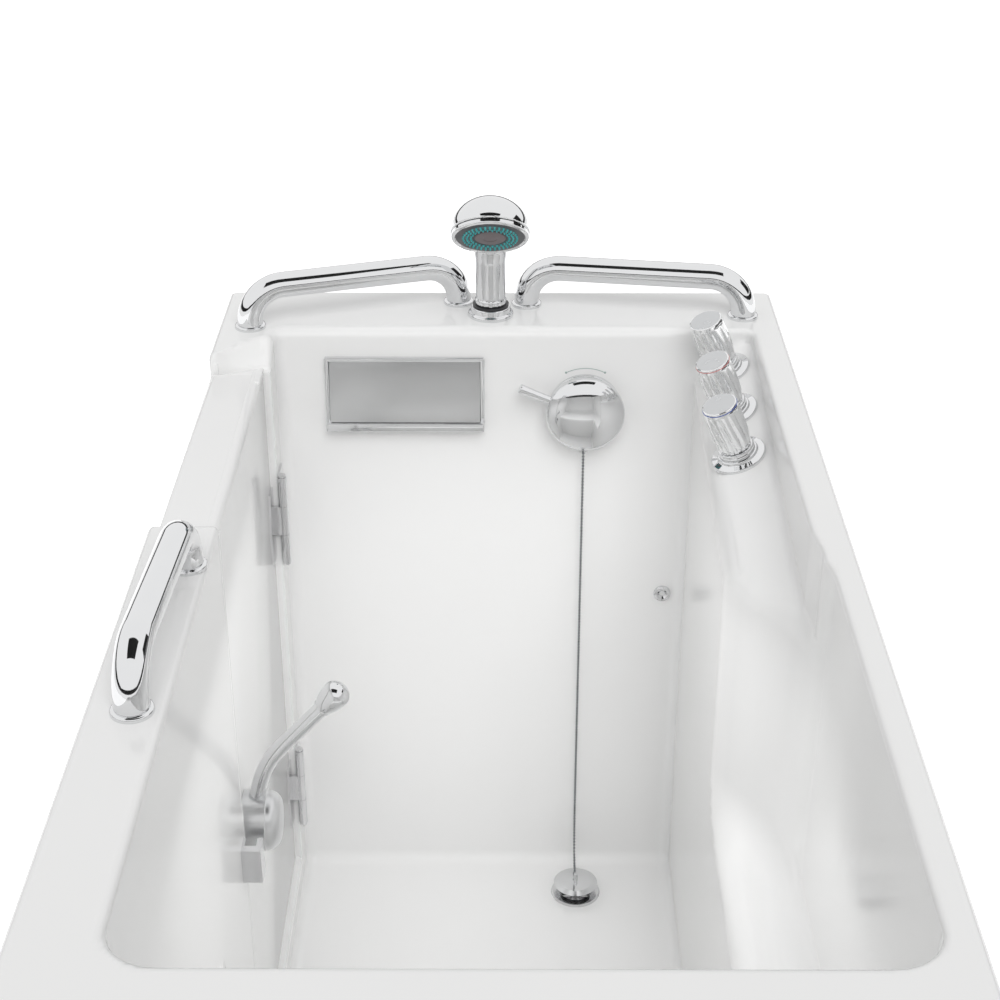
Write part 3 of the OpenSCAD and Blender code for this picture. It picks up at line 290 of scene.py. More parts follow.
# The hole for the waste and the slot for the spout.
WASTE_X, WASTE_Y, WASTE_R = 109, 473, 28
SLOT_X, SLOT_Y, SLOT_Z = (-215, -28), (520, 600), (836, 920)
print("rim", 2 * RIM_X, "x", 2 * RIM_Y, "at", RIM_Z)


# %% Field helpers
def meet(*fields, r):
    """What lies inside every field, with rounded edges."""
    q = [f + r for f in fields]
    top = q[0]
    total = np.maximum(q[0], 0) ** 2
    for f in q[1:]:
        top = np.maximum(top, f)
        total = total + np.maximum(f, 0) ** 2
    return np.minimum(top, 0) + np.sqrt(total) - r


def either(a, b, r):
    """What lies inside one or the other, with a rounded inside corner."""
    return -meet(-a, -b, r=r)


# %% The three hollows
def seat_hollow(x, y, z):
    """The room over the seat. Its walls lean out a little, and its end runs off slantwise."""
    rise = np.clip((z - FLARE_Z) / (RIM_Z - FLARE_Z), 0, 1)
    slantwise = (x - 282.5) * 0.8018 + (y + 5) * 0.5977 - 45
    return meet(x - (SEAT_X + FLARE_X * rise), (SEAT_BACK - FLARE_Y * rise) - y, SEAT_Z - z,
                slantwise, y - 150, r=SEAT_R)


def foot_hollow(x, y, z):
    """The deep footwell in front of the seat."""
    return meet(x - FOOT_X, SEAT_EDGE - y, FLOOR_Z - z, r=FOOT_R)


def ledge_hollow(x, y, z):
    """The room over the sloping ledge that carries the valves."""
    fall = -((x - LEDGE_AT[0]) * LEDGE_AXIS[0] + (y - LEDGE_AT[1]) * LEDGE_AXIS[1]
             + (z - LEDGE_AT[2]) * LEDGE_AXIS[2])
    return meet(LEDGE_X[0] - x, x - LEDGE_X[1], LEDGE_START - y, fall, r=8)


# %% The deck and the whole shell
def seam(x):
    """Where the door's top meets the deck by the hinge post."""
    return np.minimum(SEAM_Y + SEAM_SLANT * (x - SEAM_X), SEAM_END)


def above_deck(x, y, z):
    """The height over the deck, which sinks softly to the door's top by the hinge post."""
    run = RAMP_RUN + RAMP_WIDENS * (np.clip(x, *RAMP_X) - RAMP_X[0])
    t = np.clip((y - seam(np.minimum(x, DOOR_IN))) / run, 0, 1)
    t = np.where((y < 300) | (x > 0), 1, t)
    top = DOOR_TOP + (RIM_Z - DOOR_TOP) * t * t * (3 - 2 * t)
    fall = (RIM_Z - DOOR_TOP) * 6 * t * (1 - t) / run
    return (z - top) / np.sqrt(1 + fall * fall)


def shell_field(x, y, z):
    """The rim's block with the well, the doorway, the waste and the spout's slot taken out."""
    solid = meet(np.abs(x) - RIM_X, np.abs(y) - RIM_Y, above_deck(x, y, z), r=RIM_ROLL)
    plan = meet(np.abs(x) - RIM_X, np.abs(y) - RIM_Y, r=RIM_CORNER)
    solid = np.maximum(solid, plan)
    well = either(seat_hollow(x, y, z), foot_hollow(x, y, z), r=26)
    well = either(well, ledge_hollow(x, y, z), r=20)
    corner = FOOT_R + (SEAT_R - FOOT_R) * np.clip((SEAT_EDGE - y) / 200, 0, 1)
    well = meet(well, WELL_X - x, y - FOOT_Y, r=corner)
    soft = 6 + 7 * np.clip((y - 480) / 60, 0, 1) * np.clip((240 - x) / 40, 0, 1)
    solid = meet(solid, -well, r=soft)
    past = (y - seam(x) - SEAM_GAP) * 0.91
    door = meet(DOOR_Y0 - y, y - DOOR_Y1, SILL_Z - z, x - DOOR_IN,
                np.minimum(z - POST_TOP, past), r=4)
    upper = meet(DOOR_Y0 - y, past, STEP_Z - z, x - DOOR_IN, r=4)
    solid = meet(solid, -door, r=9)
    solid = meet(solid, -upper, r=5)
    waste = np.hypot(x - WASTE_X, y - WASTE_Y) - WASTE_R
    solid = np.maximum(solid, -np.maximum(waste, z - 200))
    slot = meet(SLOT_X[0] - x, x - SLOT_X[1], SLOT_Z[0] - z, z - SLOT_Z[1], SLOT_Y[0] - y,
                y - SLOT_Y[1], r=2)
    return np.maximum(solid, -slot)


# %% [markdown]
# The grid is walked once. Every cell that the surface crosses gets one point, and every grid
# line that it crosses gets one face between its four cells.

# %% Lay out the grid
def steps(low, high, coarse, *fine):
    """Grid lines at a coarse step, with finer ones over the stretches that bend."""
    out, at = [], low
    while at < high:
        out.append(at)
        here = [s for a, b, s in fine if a - coarse / 2 <= at < b]
        at += min(here) if here else coarse
    return np.array(out + [high], np.float32)


COARSE = 12
FINE = 3.5
MARGIN = 9
gx = steps(-RIM_X - MARGIN, RIM_X + MARGIN, COARSE, (-366, -334, FINE), (-308, -264, FINE),
           (210, 262, FINE + 1), (300, 366, FINE))
gy = steps(-RIM_Y - MARGIN, RIM_Y + MARGIN, COARSE, (-684, -658, FINE), (-615, -588, FINE),
           (20, 56, FINE), (450, 560, FINE + 0.5), (658, 684, FINE))
gz = steps(100, RIM_Z + MARGIN, COARSE, (110, 138, FINE + 1), (164, 184, FINE),
           (540, 566, FINE + 2), (868, 900, FINE + 2), (900, 976, FINE))
grid = shell_field(gx[:, None, None], gy[None, :, None], gz[None, None, :]).astype(np.float32)
print("grid", grid.shape)


# %% Walk the grid
def walked(field, lines):
    """Points and faces of the surface where the field is zero."""
    sizes = [len(line) for line in lines]
    inside = field < 0
    near = np.zeros([n - 1 for n in sizes], bool)
    every = ~near
    for i, j, k in np.ndindex(2, 2, 2):
        part = inside[i:sizes[0] - 1 + i, j:sizes[1] - 1 + j, k:sizes[2] - 1 + k]
        near |= part
        every &= part
    cell = np.argwhere(near & ~every)
    number = np.full(near.shape, -1, np.int64)
    number[tuple(cell.T)] = np.arange(len(cell))
    total, count = np.zeros((len(cell), 3)), np.zeros(len(cell))
    for axis in range(3):
        for a in (0, 1):
            for b in (0, 1):
                start = np.insert([a, b], axis, 0)
                stop = np.insert([a, b], axis, 1)
                p, q = cell + start, cell + stop
                fp, fq = field[tuple(p.T)], field[tuple(q.T)]
                cross = (fp < 0) != (fq < 0)
                t = np.where(cross, fp / np.where(cross, fp - fq, 1), 0)
                place = np.stack([lines[d][p[:, d]] for d in range(3)], 1)
                far = np.stack([lines[d][q[:, d]] for d in range(3)], 1)
                total += np.where(cross[:, None], place + (far - place) * t[:, None], 0)
                count += cross
    points = total / count[:, None]
    faces = []
    for axis in range(3):
        low = [slice(0, n) for n in sizes]
        high = [slice(0, n) for n in sizes]
        low[axis], high[axis] = slice(0, sizes[axis] - 1), slice(1, sizes[axis])
        change = inside[tuple(low)] != inside[tuple(high)]
        spot = np.argwhere(change)
        b, c = [d for d in range(3) if d != axis]
        keep = ((spot[:, b] > 0) & (spot[:, c] > 0) & (spot[:, b] < sizes[b] - 1)
                & (spot[:, c] < sizes[c] - 1))
        spot = spot[keep]
        around = []
        for db, dc in ((-1, -1), (0, -1), (0, 0), (-1, 0)):
            at = spot.copy()
            at[:, b] += db
            at[:, c] += dc
            around.append(number[tuple(at.T)])
        quad = np.stack(around, 1)
        flip = inside[tuple(spot.T)]
        if axis == 1:
            flip = ~flip
        quad[~flip] = quad[~flip][:, ::-1]
        faces.append(quad)
    return points, np.concatenate(faces)


# %% Draw the points onto the surface
def slope_at(p, field):
    """The outward direction of the field."""
    out = np.zeros_like(p)
    for d, shift in enumerate(np.eye(3) * 0.25):
        out[:, d] = field(*(p + shift).T) - field(*(p - shift).T)
    return out / np.maximum(np.linalg.norm(out, axis=1), 1e-6)[:, None]


def drawn_on(points, field, times, reach):
    """Moves the points onto the field's surface, a reach at a time at the most."""
    for _ in range(times):
        away = field(*points.T)
        points -= np.clip(away, -reach, reach)[:, None] * slope_at(points, field)


shell_points, shell_faces = walked(grid, (gx, gy, gz))
drawn_on(shell_points, shell_field, 4, 4)
print("surface points", len(shell_points), "faces", len(shell_faces))


# %% [markdown]
# The block's outside below the lip isn't part of the sheet, so those faces are taken away. The
# rest gets the sheet's thickness: a second skin one thickness in, joined along the open edges.

# %% Helpers for meshes from a field
def field_shaded(name, points, faces, normals):
    """A mesh from points in millimetres, shaded by the field's own directions."""
    mesh = bpy.data.meshes.new(name)
    mesh.from_pydata((points * mm).tolist(), [], faces.tolist())
    mesh.validate()
    piece = placed(name, mesh)
    bpy.ops.object.shade_smooth()
    mesh.normals_split_custom_set_from_vertices(normals.tolist())
    return piece


def sheet(name, points, faces, normals, thick):
    """A closed sheet from one skin and its copy one thickness in."""
    used = np.unique(faces)
    order = np.full(len(points), -1)
    order[used] = np.arange(len(used))
    points, normals, faces = points[used], normals[used], order[faces]
    n = len(points)
    pairs = np.concatenate([faces[:, [i, (i + 1) % 4]] for i in range(4)])
    key = np.sort(pairs, 1)
    _, first, times = np.unique(key, axis=0, return_index=True, return_counts=True)
    rim = pairs[first[times == 1]]
    edge = np.stack([rim[:, 1], rim[:, 0], rim[:, 0] + n, rim[:, 1] + n], 1)
    return field_shaded(name, np.concatenate([points, points - thick * normals]),
                        np.concatenate([faces, faces[:, ::-1] + n, edge]),
                        np.concatenate([normals, -normals]))


# %% Make the shell
middle = shell_points[shell_faces].mean(1)
outer = ((np.abs(middle[:, 0]) > RIM_X - 2) | (np.abs(middle[:, 1]) > RIM_Y - 2)) & (
    middle[:, 2] < LIP_Z)
corner = (np.hypot(np.maximum(np.abs(middle[:, 0]) - RIM_X + RIM_CORNER, 0),
                   np.maximum(np.abs(middle[:, 1]) - RIM_Y + RIM_CORNER, 0))
          > RIM_CORNER - 2) & (middle[:, 2] < LIP_Z)
beyond = (middle[:, 0] < -345) & (middle[:, 2] < LIP_Z)
hole = (np.hypot(middle[:, 0] - WASTE_X, middle[:, 1] - WASTE_Y) < WASTE_R + 3) & (
    middle[:, 2] < FLOOR_Z - 1)
slot = (middle[:, 1] > FOOT_Y + SHELL_T) & (middle[:, 1] < SLOT_Y[1] + 10) & (
    middle[:, 2] < SLOT_Z[1] + 10) & (np.abs(middle[:, 0] + 121) < 100)
shell_faces = shell_faces[~(outer | corner | beyond | hole | slot)]
shell_slope = slope_at(shell_points, shell_field)
tub_shell = sheet("moulded_tub_shell", shell_points, shell_faces, shell_slope, LIP_T)
finish_piece(tub_shell, "tub", ["tub_shell"])

# %% [markdown]
# ## The door
#
# A flat inner panel with a flange all round, and a thicker body behind it. The top inner edge
# has a broad soft roll that catches the light in the photo; the other edges are tighter. A thin
# tongue at the top reaches over the post to the slanting seam with the deck. Boxes are enough
# here: single edges are bevelled wide first, and then all that is left gets a small bevel.

# %% Bevelled blocks
def block(name, low, high, rolls=(), edge=3):
    """A box in millimetres. Each roll is (axis, side, axis, side, radius) for one edge."""
    low, high = Vector(low) * mm, Vector(high) * mm
    size, centre = high - low, (low + high) / 2
    bpy.ops.mesh.primitive_cube_add(size=1, location=centre)
    piece = bpy.context.object
    piece.scale = size
    settle(piece)
    bpy.ops.object.mode_set(mode="EDIT")
    for a, sa, b, sb, radius in rolls:
        bpy.ops.mesh.select_mode(type="EDGE")
        bpy.ops.mesh.select_all(action="DESELECT")
        work = bmesh.from_edit_mesh(piece.data)
        for e in work.edges:
            e.select = all((v.co - centre)[a] * sa > size[a] * 0.499
                           and (v.co - centre)[b] * sb > size[b] * 0.499 for v in e.verts)
        bmesh.update_edit_mesh(piece.data)
        bpy.ops.mesh.bevel(offset=radius * mm, segments=8, affect="EDGES")
    bpy.ops.object.mode_set(mode="OBJECT")
    if edge:
        modified(piece, "BEVEL", width=edge * mm, segments=4, limit_method="ANGLE",
                 angle_limit=math.radians(50), use_clamp_overlap=True)
    return smooth(named(piece, name), 30)


# %% Make the door
DOOR_FACE = -292
door_flange = block("door_flange", (-306, 45, 175), (DOOR_FACE, 477, DOOR_TOP),
                    rolls=[(0, 1, 2, 1, 9)])
door_body = block("door_body", (-354.5, 60, 192), (-304, 460, DOOR_TOP),
                  rolls=[(0, -1, 2, 1, 6), (0, -1, 1, 1, 10), (0, -1, 1, -1, 10)], edge=4)
door_tongue = block("door_tongue", (-353.5, 440, 935.2), (DOOR_FACE, 483.5, 939.8), edge=2)
for corner in door_tongue.data.vertices:
    if corner.co.y > SEAM_Y * mm:
        corner.co.y += SEAM_SLANT * (corner.co.x - DOOR_FACE * mm)
door = joined("walk_in_door", [door_flange, door_body, door_tongue])
finish_piece(door, "door_leaf", ["door_panel", "door_outer_skin"])

# %% [markdown]
# ## Grab bars
#
# Three bent chrome tubes over round flanges. Each one rises from its foot, turns through a
# quarter bend and runs level to the next foot. A circle could be extruded and turned step by
# step; a curve with a round bevel does the same and keeps the tube's width through the bend.

# %% Make the bars
BAR_FEET = {"far_left": ((-315, 552), (-54, 635)), "far_right": ((34, 628), (310, 588)),
            "near_left": ((-302.5, -44), (-312.5, -289))}
BAR_Z, BAR_R, BEND_R, FLANGE_R = 1017.0, 16.0, 44.0, 19.5


def bar_line(a, b):
    """The middle line of a bar from one foot to the other."""
    a, b = Vector((*a, RIM_Z)), Vector((*b, RIM_Z))
    along, up = (b - a).normalized(), Vector((0, 0, 1))
    turn = [math.pi / 2 * k / 12 for k in range(13)]
    lift = up * (BAR_Z - RIM_Z - BEND_R)
    points = [a]
    points += [a + lift + along * BEND_R + (up * math.sin(t) - along * math.cos(t)) * BEND_R
               for t in turn]
    points += [b + lift - along * BEND_R + (up * math.sin(t) + along * math.cos(t)) * BEND_R
               for t in turn[::-1]]
    return [p * mm for p in points + [b]]


flange_profile = [(0, 0), (FLANGE_R, 0), (FLANGE_R, 2.2), *arc(FLANGE_R - 2, 2.4, 2, 10, 70, 4),
                  (BAR_R + 0.9, 4.9), (BAR_R - 1, 5), (0, 5)]
bars, flanges = [], []
for name, feet in BAR_FEET.items():
    bar = tube(name + "_bar", bar_line(*feet), BAR_R * mm, sides=14)
    bars.append(finish_piece(bar, "tub", [name + "_grab_bar"]))
    flanges += [turned("flange", flange_profile, at=(x * mm, y * mm, RIM_Z * mm), steps=64)
                for x, y in feet]
bar_flanges = finish_piece(joined("bar_foot_flanges", flanges), "tub", ["bar_flanges"])

# %% [markdown]
# ## Hand shower
#
# A stepped plate on the deck, a straight thick handle and a round domed head that looks down at
# the bather. Handle, neck and dome flow into each other on the real one, so they are one more
# small field. The face is a dark disc with three rings of teal nozzles.

# %% Make the shower's plate
SHOWER = Vector((-12, 594, 965))
HEAD_AT, HEAD_R, HEAD_TIP, DOME_FLAT = Vector((-12, 540, 1094)), 48.5, 46, 0.86
tip = math.radians(90 + HEAD_TIP)
FACE_AXIS = Vector((0, -math.sin(tip), math.cos(tip)))
deck_plate = turned("shower_plate", [
    (20.2, 0), (29, 0), (29, 2), *arc(27, 3, 2, 0, 80, 4), (26.5, 5.2), (25.4, 6),
    (25.2, 11), *arc(23.6, 11.4, 1.6, 0, 90, 4), (20.2, 13), (20.2, 0)],
    at=SHOWER * mm, steps=96)
finish_piece(deck_plate, "tub", ["shower_deck_plate"])


# %% Make the shower's handle
def capsule(x, y, z, a, b, ra, rb):
    """A round bar from a to b whose radius goes from ra to rb."""
    ab = b - a
    t = np.clip(((x - a[0]) * ab[0] + (y - a[1]) * ab[1] + (z - a[2]) * ab[2])
                / ab.length_squared, 0, 1)
    return np.sqrt((x - a[0] - t * ab[0]) ** 2 + (y - a[1] - t * ab[1]) ** 2
                   + (z - a[2] - t * ab[2]) ** 2) - (ra + (rb - ra) * t)


def shower_field(x, y, z):
    """A foot band, a straight grip, a short neck and the head's flattened dome."""
    radius = np.hypot(x - SHOWER[0], y - SHOWER[1])
    foot = meet(radius - 20, 981 - z, z - 989, r=1.4)
    grip = meet(radius - 18.6 - (z - 985) * 0.01, 982 - z, z - 1056, r=1)
    neck = capsule(x, y, z, Vector((-12, 594, 1054)), Vector((-12, 572, 1100)), 19, 17)
    depth = sum((q - c) * n for q, c, n in zip((x, y, z), HEAD_AT, FACE_AXIS))
    centre = HEAD_AT - FACE_AXIS * 4
    away = (x - centre[0]) ** 2 + (y - centre[1]) ** 2 + (z - centre[2]) ** 2
    along = (depth + 4) ** 2
    ball = np.sqrt(away + along * (1 / DOME_FLAT ** 2 - 1)) - HEAD_R
    dome = meet(ball, depth, r=1.2)
    body = either(either(foot, grip, r=1.5), neck, r=6)
    return either(body, dome, r=9)


def from_field(name, field, low, high, step):
    """A closed solid from a field."""
    lines = [np.arange(a, b + step, step, dtype=np.float32) for a, b in zip(low, high)]
    values = field(lines[0][:, None, None], lines[1][None, :, None], lines[2][None, None, :])
    points, faces = walked(values.astype(np.float32), lines)
    drawn_on(points, field, 3, step)
    return field_shaded(name, points, faces, slope_at(points, field))


handle = from_field("shower_handle", shower_field, (-68, 484, 976), (44, 622, 1150),
                    2.2)
finish_piece(handle, "hand_set", ["hand_shower"])

# %% Make the spray face
face_turn = turned_to(FACE_AXIS)


def on_face(piece):
    """Moves a piece made at the origin onto the spray face."""
    piece.matrix_world = Matrix.Translation(HEAD_AT * mm) @ face_turn @ piece.matrix_world
    return settle(piece)


def face_part(name, profile, steps=96):
    """A profile spun round the spray face's own axis."""
    return turned(name, profile, at=HEAD_AT * mm, axis=FACE_AXIS, steps=steps)


bezel = face_part("spray_bezel", [
    (42, 0.4), (46.4, 0.4), (47.5, 1.4), (47.5, 4.2), *arc(45.4, 4.4, 2.1, 0, 90, 6), (43.6, 7),
    (42.4, 5.6), (42, 5.2), (42, 0.4)], steps=128)
finish_piece(bezel, "spray_dial")
face = face_part("spray_face_disc", [(0, 0.4), (42.6, 0.4), (42.6, 5.2), (40.8, 5.8), (25, 5.5),
                                     (14.6, 5.4), (0, 5.4)])
finish_piece(face, "spray_dial", ["spray_ring"])
band = face_part("spray_nozzle_band", [(21.4, 5), (35.4, 5), (35.4, 5.9), (34.8, 6.4),
                                       (22, 6.2), (21.4, 5.7), (21.4, 5)])
finish_piece(band, "spray_dial")
middle_disc = face_part("spray_middle_disc", [
    (0, 5), (19, 5), (19, 5.8), *arc(18, 6, 1, 0, 90, 4), (9, 7.1), (8.4, 6.6), (0, 6.9)],
    steps=64)
finish_piece(middle_disc, "spray_dial")

# %% Make the nozzles
nozzles = []
for ring_radius, ring_count in ((23.6, 26), (28.3, 32), (33, 36)):
    for k in range(ring_count):
        turn = 2 * math.pi * k / ring_count
        bpy.ops.mesh.primitive_cone_add(
            vertices=10, radius1=1.35 * mm, radius2=0.8 * mm, depth=2.4 * mm,
            location=(ring_radius * mm * math.cos(turn), ring_radius * mm * math.sin(turn),
                      7.2 * mm))
        nozzles.append(bpy.context.object)
nozzle_rings = smooth(on_face(joined("spray_nozzles", nozzles)), 40)
finish_piece(nozzle_rings, "spray_dial")

# %% [markdown]
# ## Waterfall spout
#
# A thin chrome frame on the foot wall with a deeper lip below, and a bright panel that slopes
# out over the water slot. The frame is a bevelled block with its opening cut out, which keeps
# the thin sides crisp. The panel is a cube whose corners are set one by one to get the slope.

# %% Make the spout's frame
SPOUT_X, SPOUT_Z, LIP_TOP = (-223, -20), (828, 928), 840
spout_outer = block("spout_outer", (SPOUT_X[0], 538, SPOUT_Z[0]),
                    (SPOUT_X[1], FOOT_Y, SPOUT_Z[1]), edge=1.6)
spout_lip = block("spout_lip", (SPOUT_X[0], 529, SPOUT_Z[0]), (SPOUT_X[1], FOOT_Y, LIP_TOP),
                  edge=2.2)
opening = block("spout_opening", (-218, 500, LIP_TOP), (-25, 560, 923), edge=0)
modified(spout_outer, "BOOLEAN", operation="DIFFERENCE", object=opening, solver="EXACT")
modified(spout_outer, "BEVEL", width=0.6 * mm, segments=2, limit_method="ANGLE",
         angle_limit=math.radians(60))
smooth(spout_outer, 30)
bpy.data.objects.remove(opening)
spout_frame = joined("spout_trim", [spout_outer, spout_lip])
finish_piece(spout_frame, "tub", ["spout_frame"])

# %% Make the spout's panel
PANEL_MIDDLE, PANEL_HALF, PANEL_Z = -121.5, 96.2, (840.5, 923)
PANEL_OUT, PANEL_T = (10, 0), 3
bpy.ops.mesh.primitive_cube_add(size=1)
spout_panel = bpy.context.object
for v in spout_panel.data.vertices:
    side, out, up = v.co
    v.co.x = (PANEL_MIDDLE + side * 2 * PANEL_HALF) * mm
    v.co.z = PANEL_Z[up > 0] * mm
    v.co.y = (FOOT_Y - PANEL_OUT[up > 0] - (PANEL_T if out < 0 else 0)) * mm
modified(spout_panel, "BEVEL", width=0.7 * mm, segments=3)
smooth(named(spout_panel, "spout_slope"), 30)
finish_piece(spout_panel, "tub", ["spout_panel"])

# %% [markdown]
# ## Valves
#
# Three handles stand square to the sloping ledge: a wide flat ring, a stepped collar and a
# fluted knob with a flat pale top. The hot one has a red ring round its top and the cold one a
# blue ring. Each part is made upright at the origin, where its profile is easy to read, and is
# then tilted onto the ledge.

# %% Valve places
VALVES = {"diverter": 510.5, "hot": 419.5, "cold": 328.5}
LEDGE_TILT, LEDGE_CLIMB = math.radians(21.5), math.radians(8)
LEDGE_TURN = Matrix.Rotation(-LEDGE_TILT, 4, "Y") @ Matrix.Rotation(LEDGE_CLIMB, 4, "X")


def on_ledge(piece, name):
    """Moves a piece made at the origin to its valve's place on the ledge."""
    y = VALVES[name]
    z = LEDGE_AT[2] + math.tan(LEDGE_CLIMB) / math.cos(LEDGE_TILT) * (y - LEDGE_AT[1])
    piece.matrix_world = Matrix.Translation((LEDGE_AT[0] * mm, y * mm, z * mm)) @ LEDGE_TURN
    return settle(piece)


ring_profile = [(14.2, 0), (33, 0), (33, 1.6), *arc(31, 2, 2, 0, 75, 5), (25.5, 4.9),
                (24.6, 5.4), (24.4, 6.6), *arc(22.8, 7, 1.4, 0, 90, 4), (22, 8.6), (22, 12.6),
                (21.4, 13), (21.2, 15), *arc(20.2, 15, 1, 0, 90, 3), (14.2, 16), (14.2, 0)]
rings = [on_ledge(turned("ring", ring_profile, steps=96), name) for name in VALVES]
valve_rings = finish_piece(joined("valve_base_rings", rings), "tub", ["valve_rings"])

# %% [markdown]
# A knob's side is a spun profile whose radius dips in twelve slanting flutes, deepest in the
# middle and gone under the top's rim. The points are set ring by ring, because a bevel or a cut
# can't make a flute that fades out.

# %% Fluted knob
KNOB_H, KNOB_FOOT, KNOB_STEPS = 58.0, 16.3, 192
FLUTES, FLUTE_DEPTH, FLUTE_SLANT = 12, 2.6, 0.35


def fluted_knob(name):
    """A knob with slanting flutes, in its place on the ledge."""
    profile = [(16.5, 0), (18.4, 0.6), (20, 4), (21, 10), (21.6, 20), (21.8, 32), (21.6, 42),
               (21.2, 50), (20.9, 55), (20.7, 57.6), (20.4, 58.2), (20.4, 61.3), (20.1, 62.1),
               (19.2, 62.6), (18.8, 62.5), (0.01, 62.5)]
    mesh = bmesh.new()
    rings = []
    for radius, height in profile:
        deep = FLUTE_DEPTH * min(max(height, 0) / 5, 1) * min(max(57.4 - height, 0) / 12, 1)
        ring = []
        for k in range(KNOB_STEPS):
            turn = 2 * math.pi * k / KNOB_STEPS
            wave = max(0.0, math.cos(FLUTES * (turn + FLUTE_SLANT * height / KNOB_H))) ** 0.8
            r = (radius - deep * wave) * mm
            ring.append(mesh.verts.new((r * math.cos(turn), r * math.sin(turn),
                                        (KNOB_FOOT + height) * mm)))
        rings.append(ring)
    for low, high in zip(rings, rings[1:]):
        for k in range(KNOB_STEPS):
            n = (k + 1) % KNOB_STEPS
            mesh.faces.new((low[k], low[n], high[n], high[k]))
    mesh.faces.new(rings[0][::-1])
    mesh.faces.new(rings[-1])
    data = bpy.data.meshes.new(name)
    mesh.to_mesh(data)
    mesh.free()
    return smooth(on_ledge(placed(name, data), name.split("_")[0]), 40)


# %% Make the knobs and their tops
knobs, knob_tops = [], []
for name in VALVES:
    knob = fluted_knob(name + "_fluted_knob")
    knobs.append(finish_piece(knob, name + "_handle", [name + "_knob"]))
    top = on_ledge(turned(name + "_top", [(0, 78), (19, 78), (19, 78.9), (18.3, 79.4), (0, 79.4)],
                          steps=96), name)
    finish_piece(named(top, name + "_top_disc"), name + "_handle")
    knob_tops.append(top)
index_profile = [(20, 75.6), (20.8, 75.6), (21, 75.8), (21, 76.4), (20.8, 76.6), (20, 76.6),
                 (20, 75.6)]
index_rings = {}
for name, slot in (("hot", "red_index"), ("cold", "blue_index")):
    index = on_ledge(turned(name + "_ring", index_profile, steps=128), name)
    index_rings[name] = finish_piece(named(index, name + "_colour_ring"), name + "_handle",
                                     [name + "_index_ring"])

# %% [markdown]
# ## Drain control, jet and latch
#
# The drain control is a shallow dome on a ring, with a short lever. The latch is a drum on the
# door with a bent lever and an egg-shaped knob. All but the bent lever are profiles spun round
# their own axis, as a lathe would cut them. The lever is a tube along a few given points.

# %% Make the drain control
DOME_AT = Vector((109, FOOT_Y, 857))
INTO_TUB = (0, -1, 0)
drain_ring = turned("drain_base_ring", [(9, 0), (45.5, 0), (47, 1.2), (47, 4.5),
                                        *arc(45.6, 4.6, 1.4, 0, 90, 4), (9, 6), (9, 0)],
                    at=DOME_AT * mm, axis=INTO_TUB, steps=96)
finish_piece(drain_ring, "tub", ["drain_ring"])
dome = turned("drain_cap", [(0, 6.4), (44.5, 6.4), (47, 8), (49, 12), (50.2, 17), (50.5, 22.5),
                            *arc(0, 22.5, 50.5, 5, 85, 16, rise=16.5), (0, 39)],
              at=DOME_AT * mm, axis=INTO_TUB, steps=128)
lever_turn = math.radians(23)
lever_way = Vector((-math.cos(lever_turn), 0, math.sin(lever_turn)))
drain_lever = turned("drain_lever", [(0, 0), (5.2, 0), (5.2, 14), (5.6, 30), (6.2, 43),
                                     *arc(4.9, 45, 1.3, 0, 90, 4), (0, 46.3)],
                     at=(DOME_AT + Vector((0, -20, 0)) + lever_way * 45) * mm,
                     axis=lever_way, steps=48)
dome = joined("drain_control_cap", [dome, drain_lever])
finish_piece(dome, "drain_control", ["drain_dome"])

# %% Direction mark
MARK_R, MARK_HALF = 54.5, 27
mark_line = [DOME_AT * mm + Vector((MARK_R * math.sin(math.radians(a)), -0.05,
                                    MARK_R * math.cos(math.radians(a)))) * mm
             for a in range(-MARK_HALF, MARK_HALF + 1, 3)]
mark_parts = [tube("mark_arc", mark_line, 0.45 * mm, sides=2)]
for end in (mark_line[0], mark_line[-1]):
    bpy.ops.mesh.primitive_uv_sphere_add(segments=12, ring_count=8, radius=1.5 * mm, location=end)
    bpy.context.object.scale = (1, 0.2, 1)
    mark_parts.append(settle(bpy.context.object))
direction_mark = smooth(joined("turn_direction_mark", mark_parts), 40)
finish_piece(direction_mark, "tub")

# %% Make the jet
JET_AT = Vector((220, FOOT_Y, 578))
jet = turned("wall_jet", [
    (7.6, -6), (7.6, 0), (11.5, 0), (11.5, 1.6), *arc(10, 2.4, 1.5, 0, 60, 3), (8.4, 4.9),
    (7.2, 5), (6.4, 4.2), (4.2, 2.2), (4, 0), (4, -20), (0, -20), (0, -21), (7.6, -21),
    (7.6, -6)], at=JET_AT * mm, axis=INTO_TUB, steps=64)
finish_piece(jet, "tub", ["jet_fitting"])

# %% Make the latch's drum
HUB_AT, HUB_R, HUB_H, HUB_DOME = Vector((-291.7, 90, 549)), 35.0, 27.5, 15.5
hub = turned("latch_drum_side", [
    (0, -22), (10.4, -22), (11, -21.4), (11, -16), (8, -16), (8, 0), (HUB_R, 0),
    (HUB_R, HUB_H - 0.8), (HUB_R - 0.8, HUB_H),
    *arc(HUB_R - 1 - HUB_DOME, HUB_H, HUB_DOME, 2, 86, 12), (0, HUB_H + HUB_DOME + 1)],
    at=HUB_AT * mm, axis=(1, 0, 0), steps=96)
finger = block("latch_finger", (-279, 82, 477), (-274, 98, 545), edge=1.2)
latch_drum = finish_piece(joined("latch_drum", [hub, finger]), "latch", ["latch_hub"])

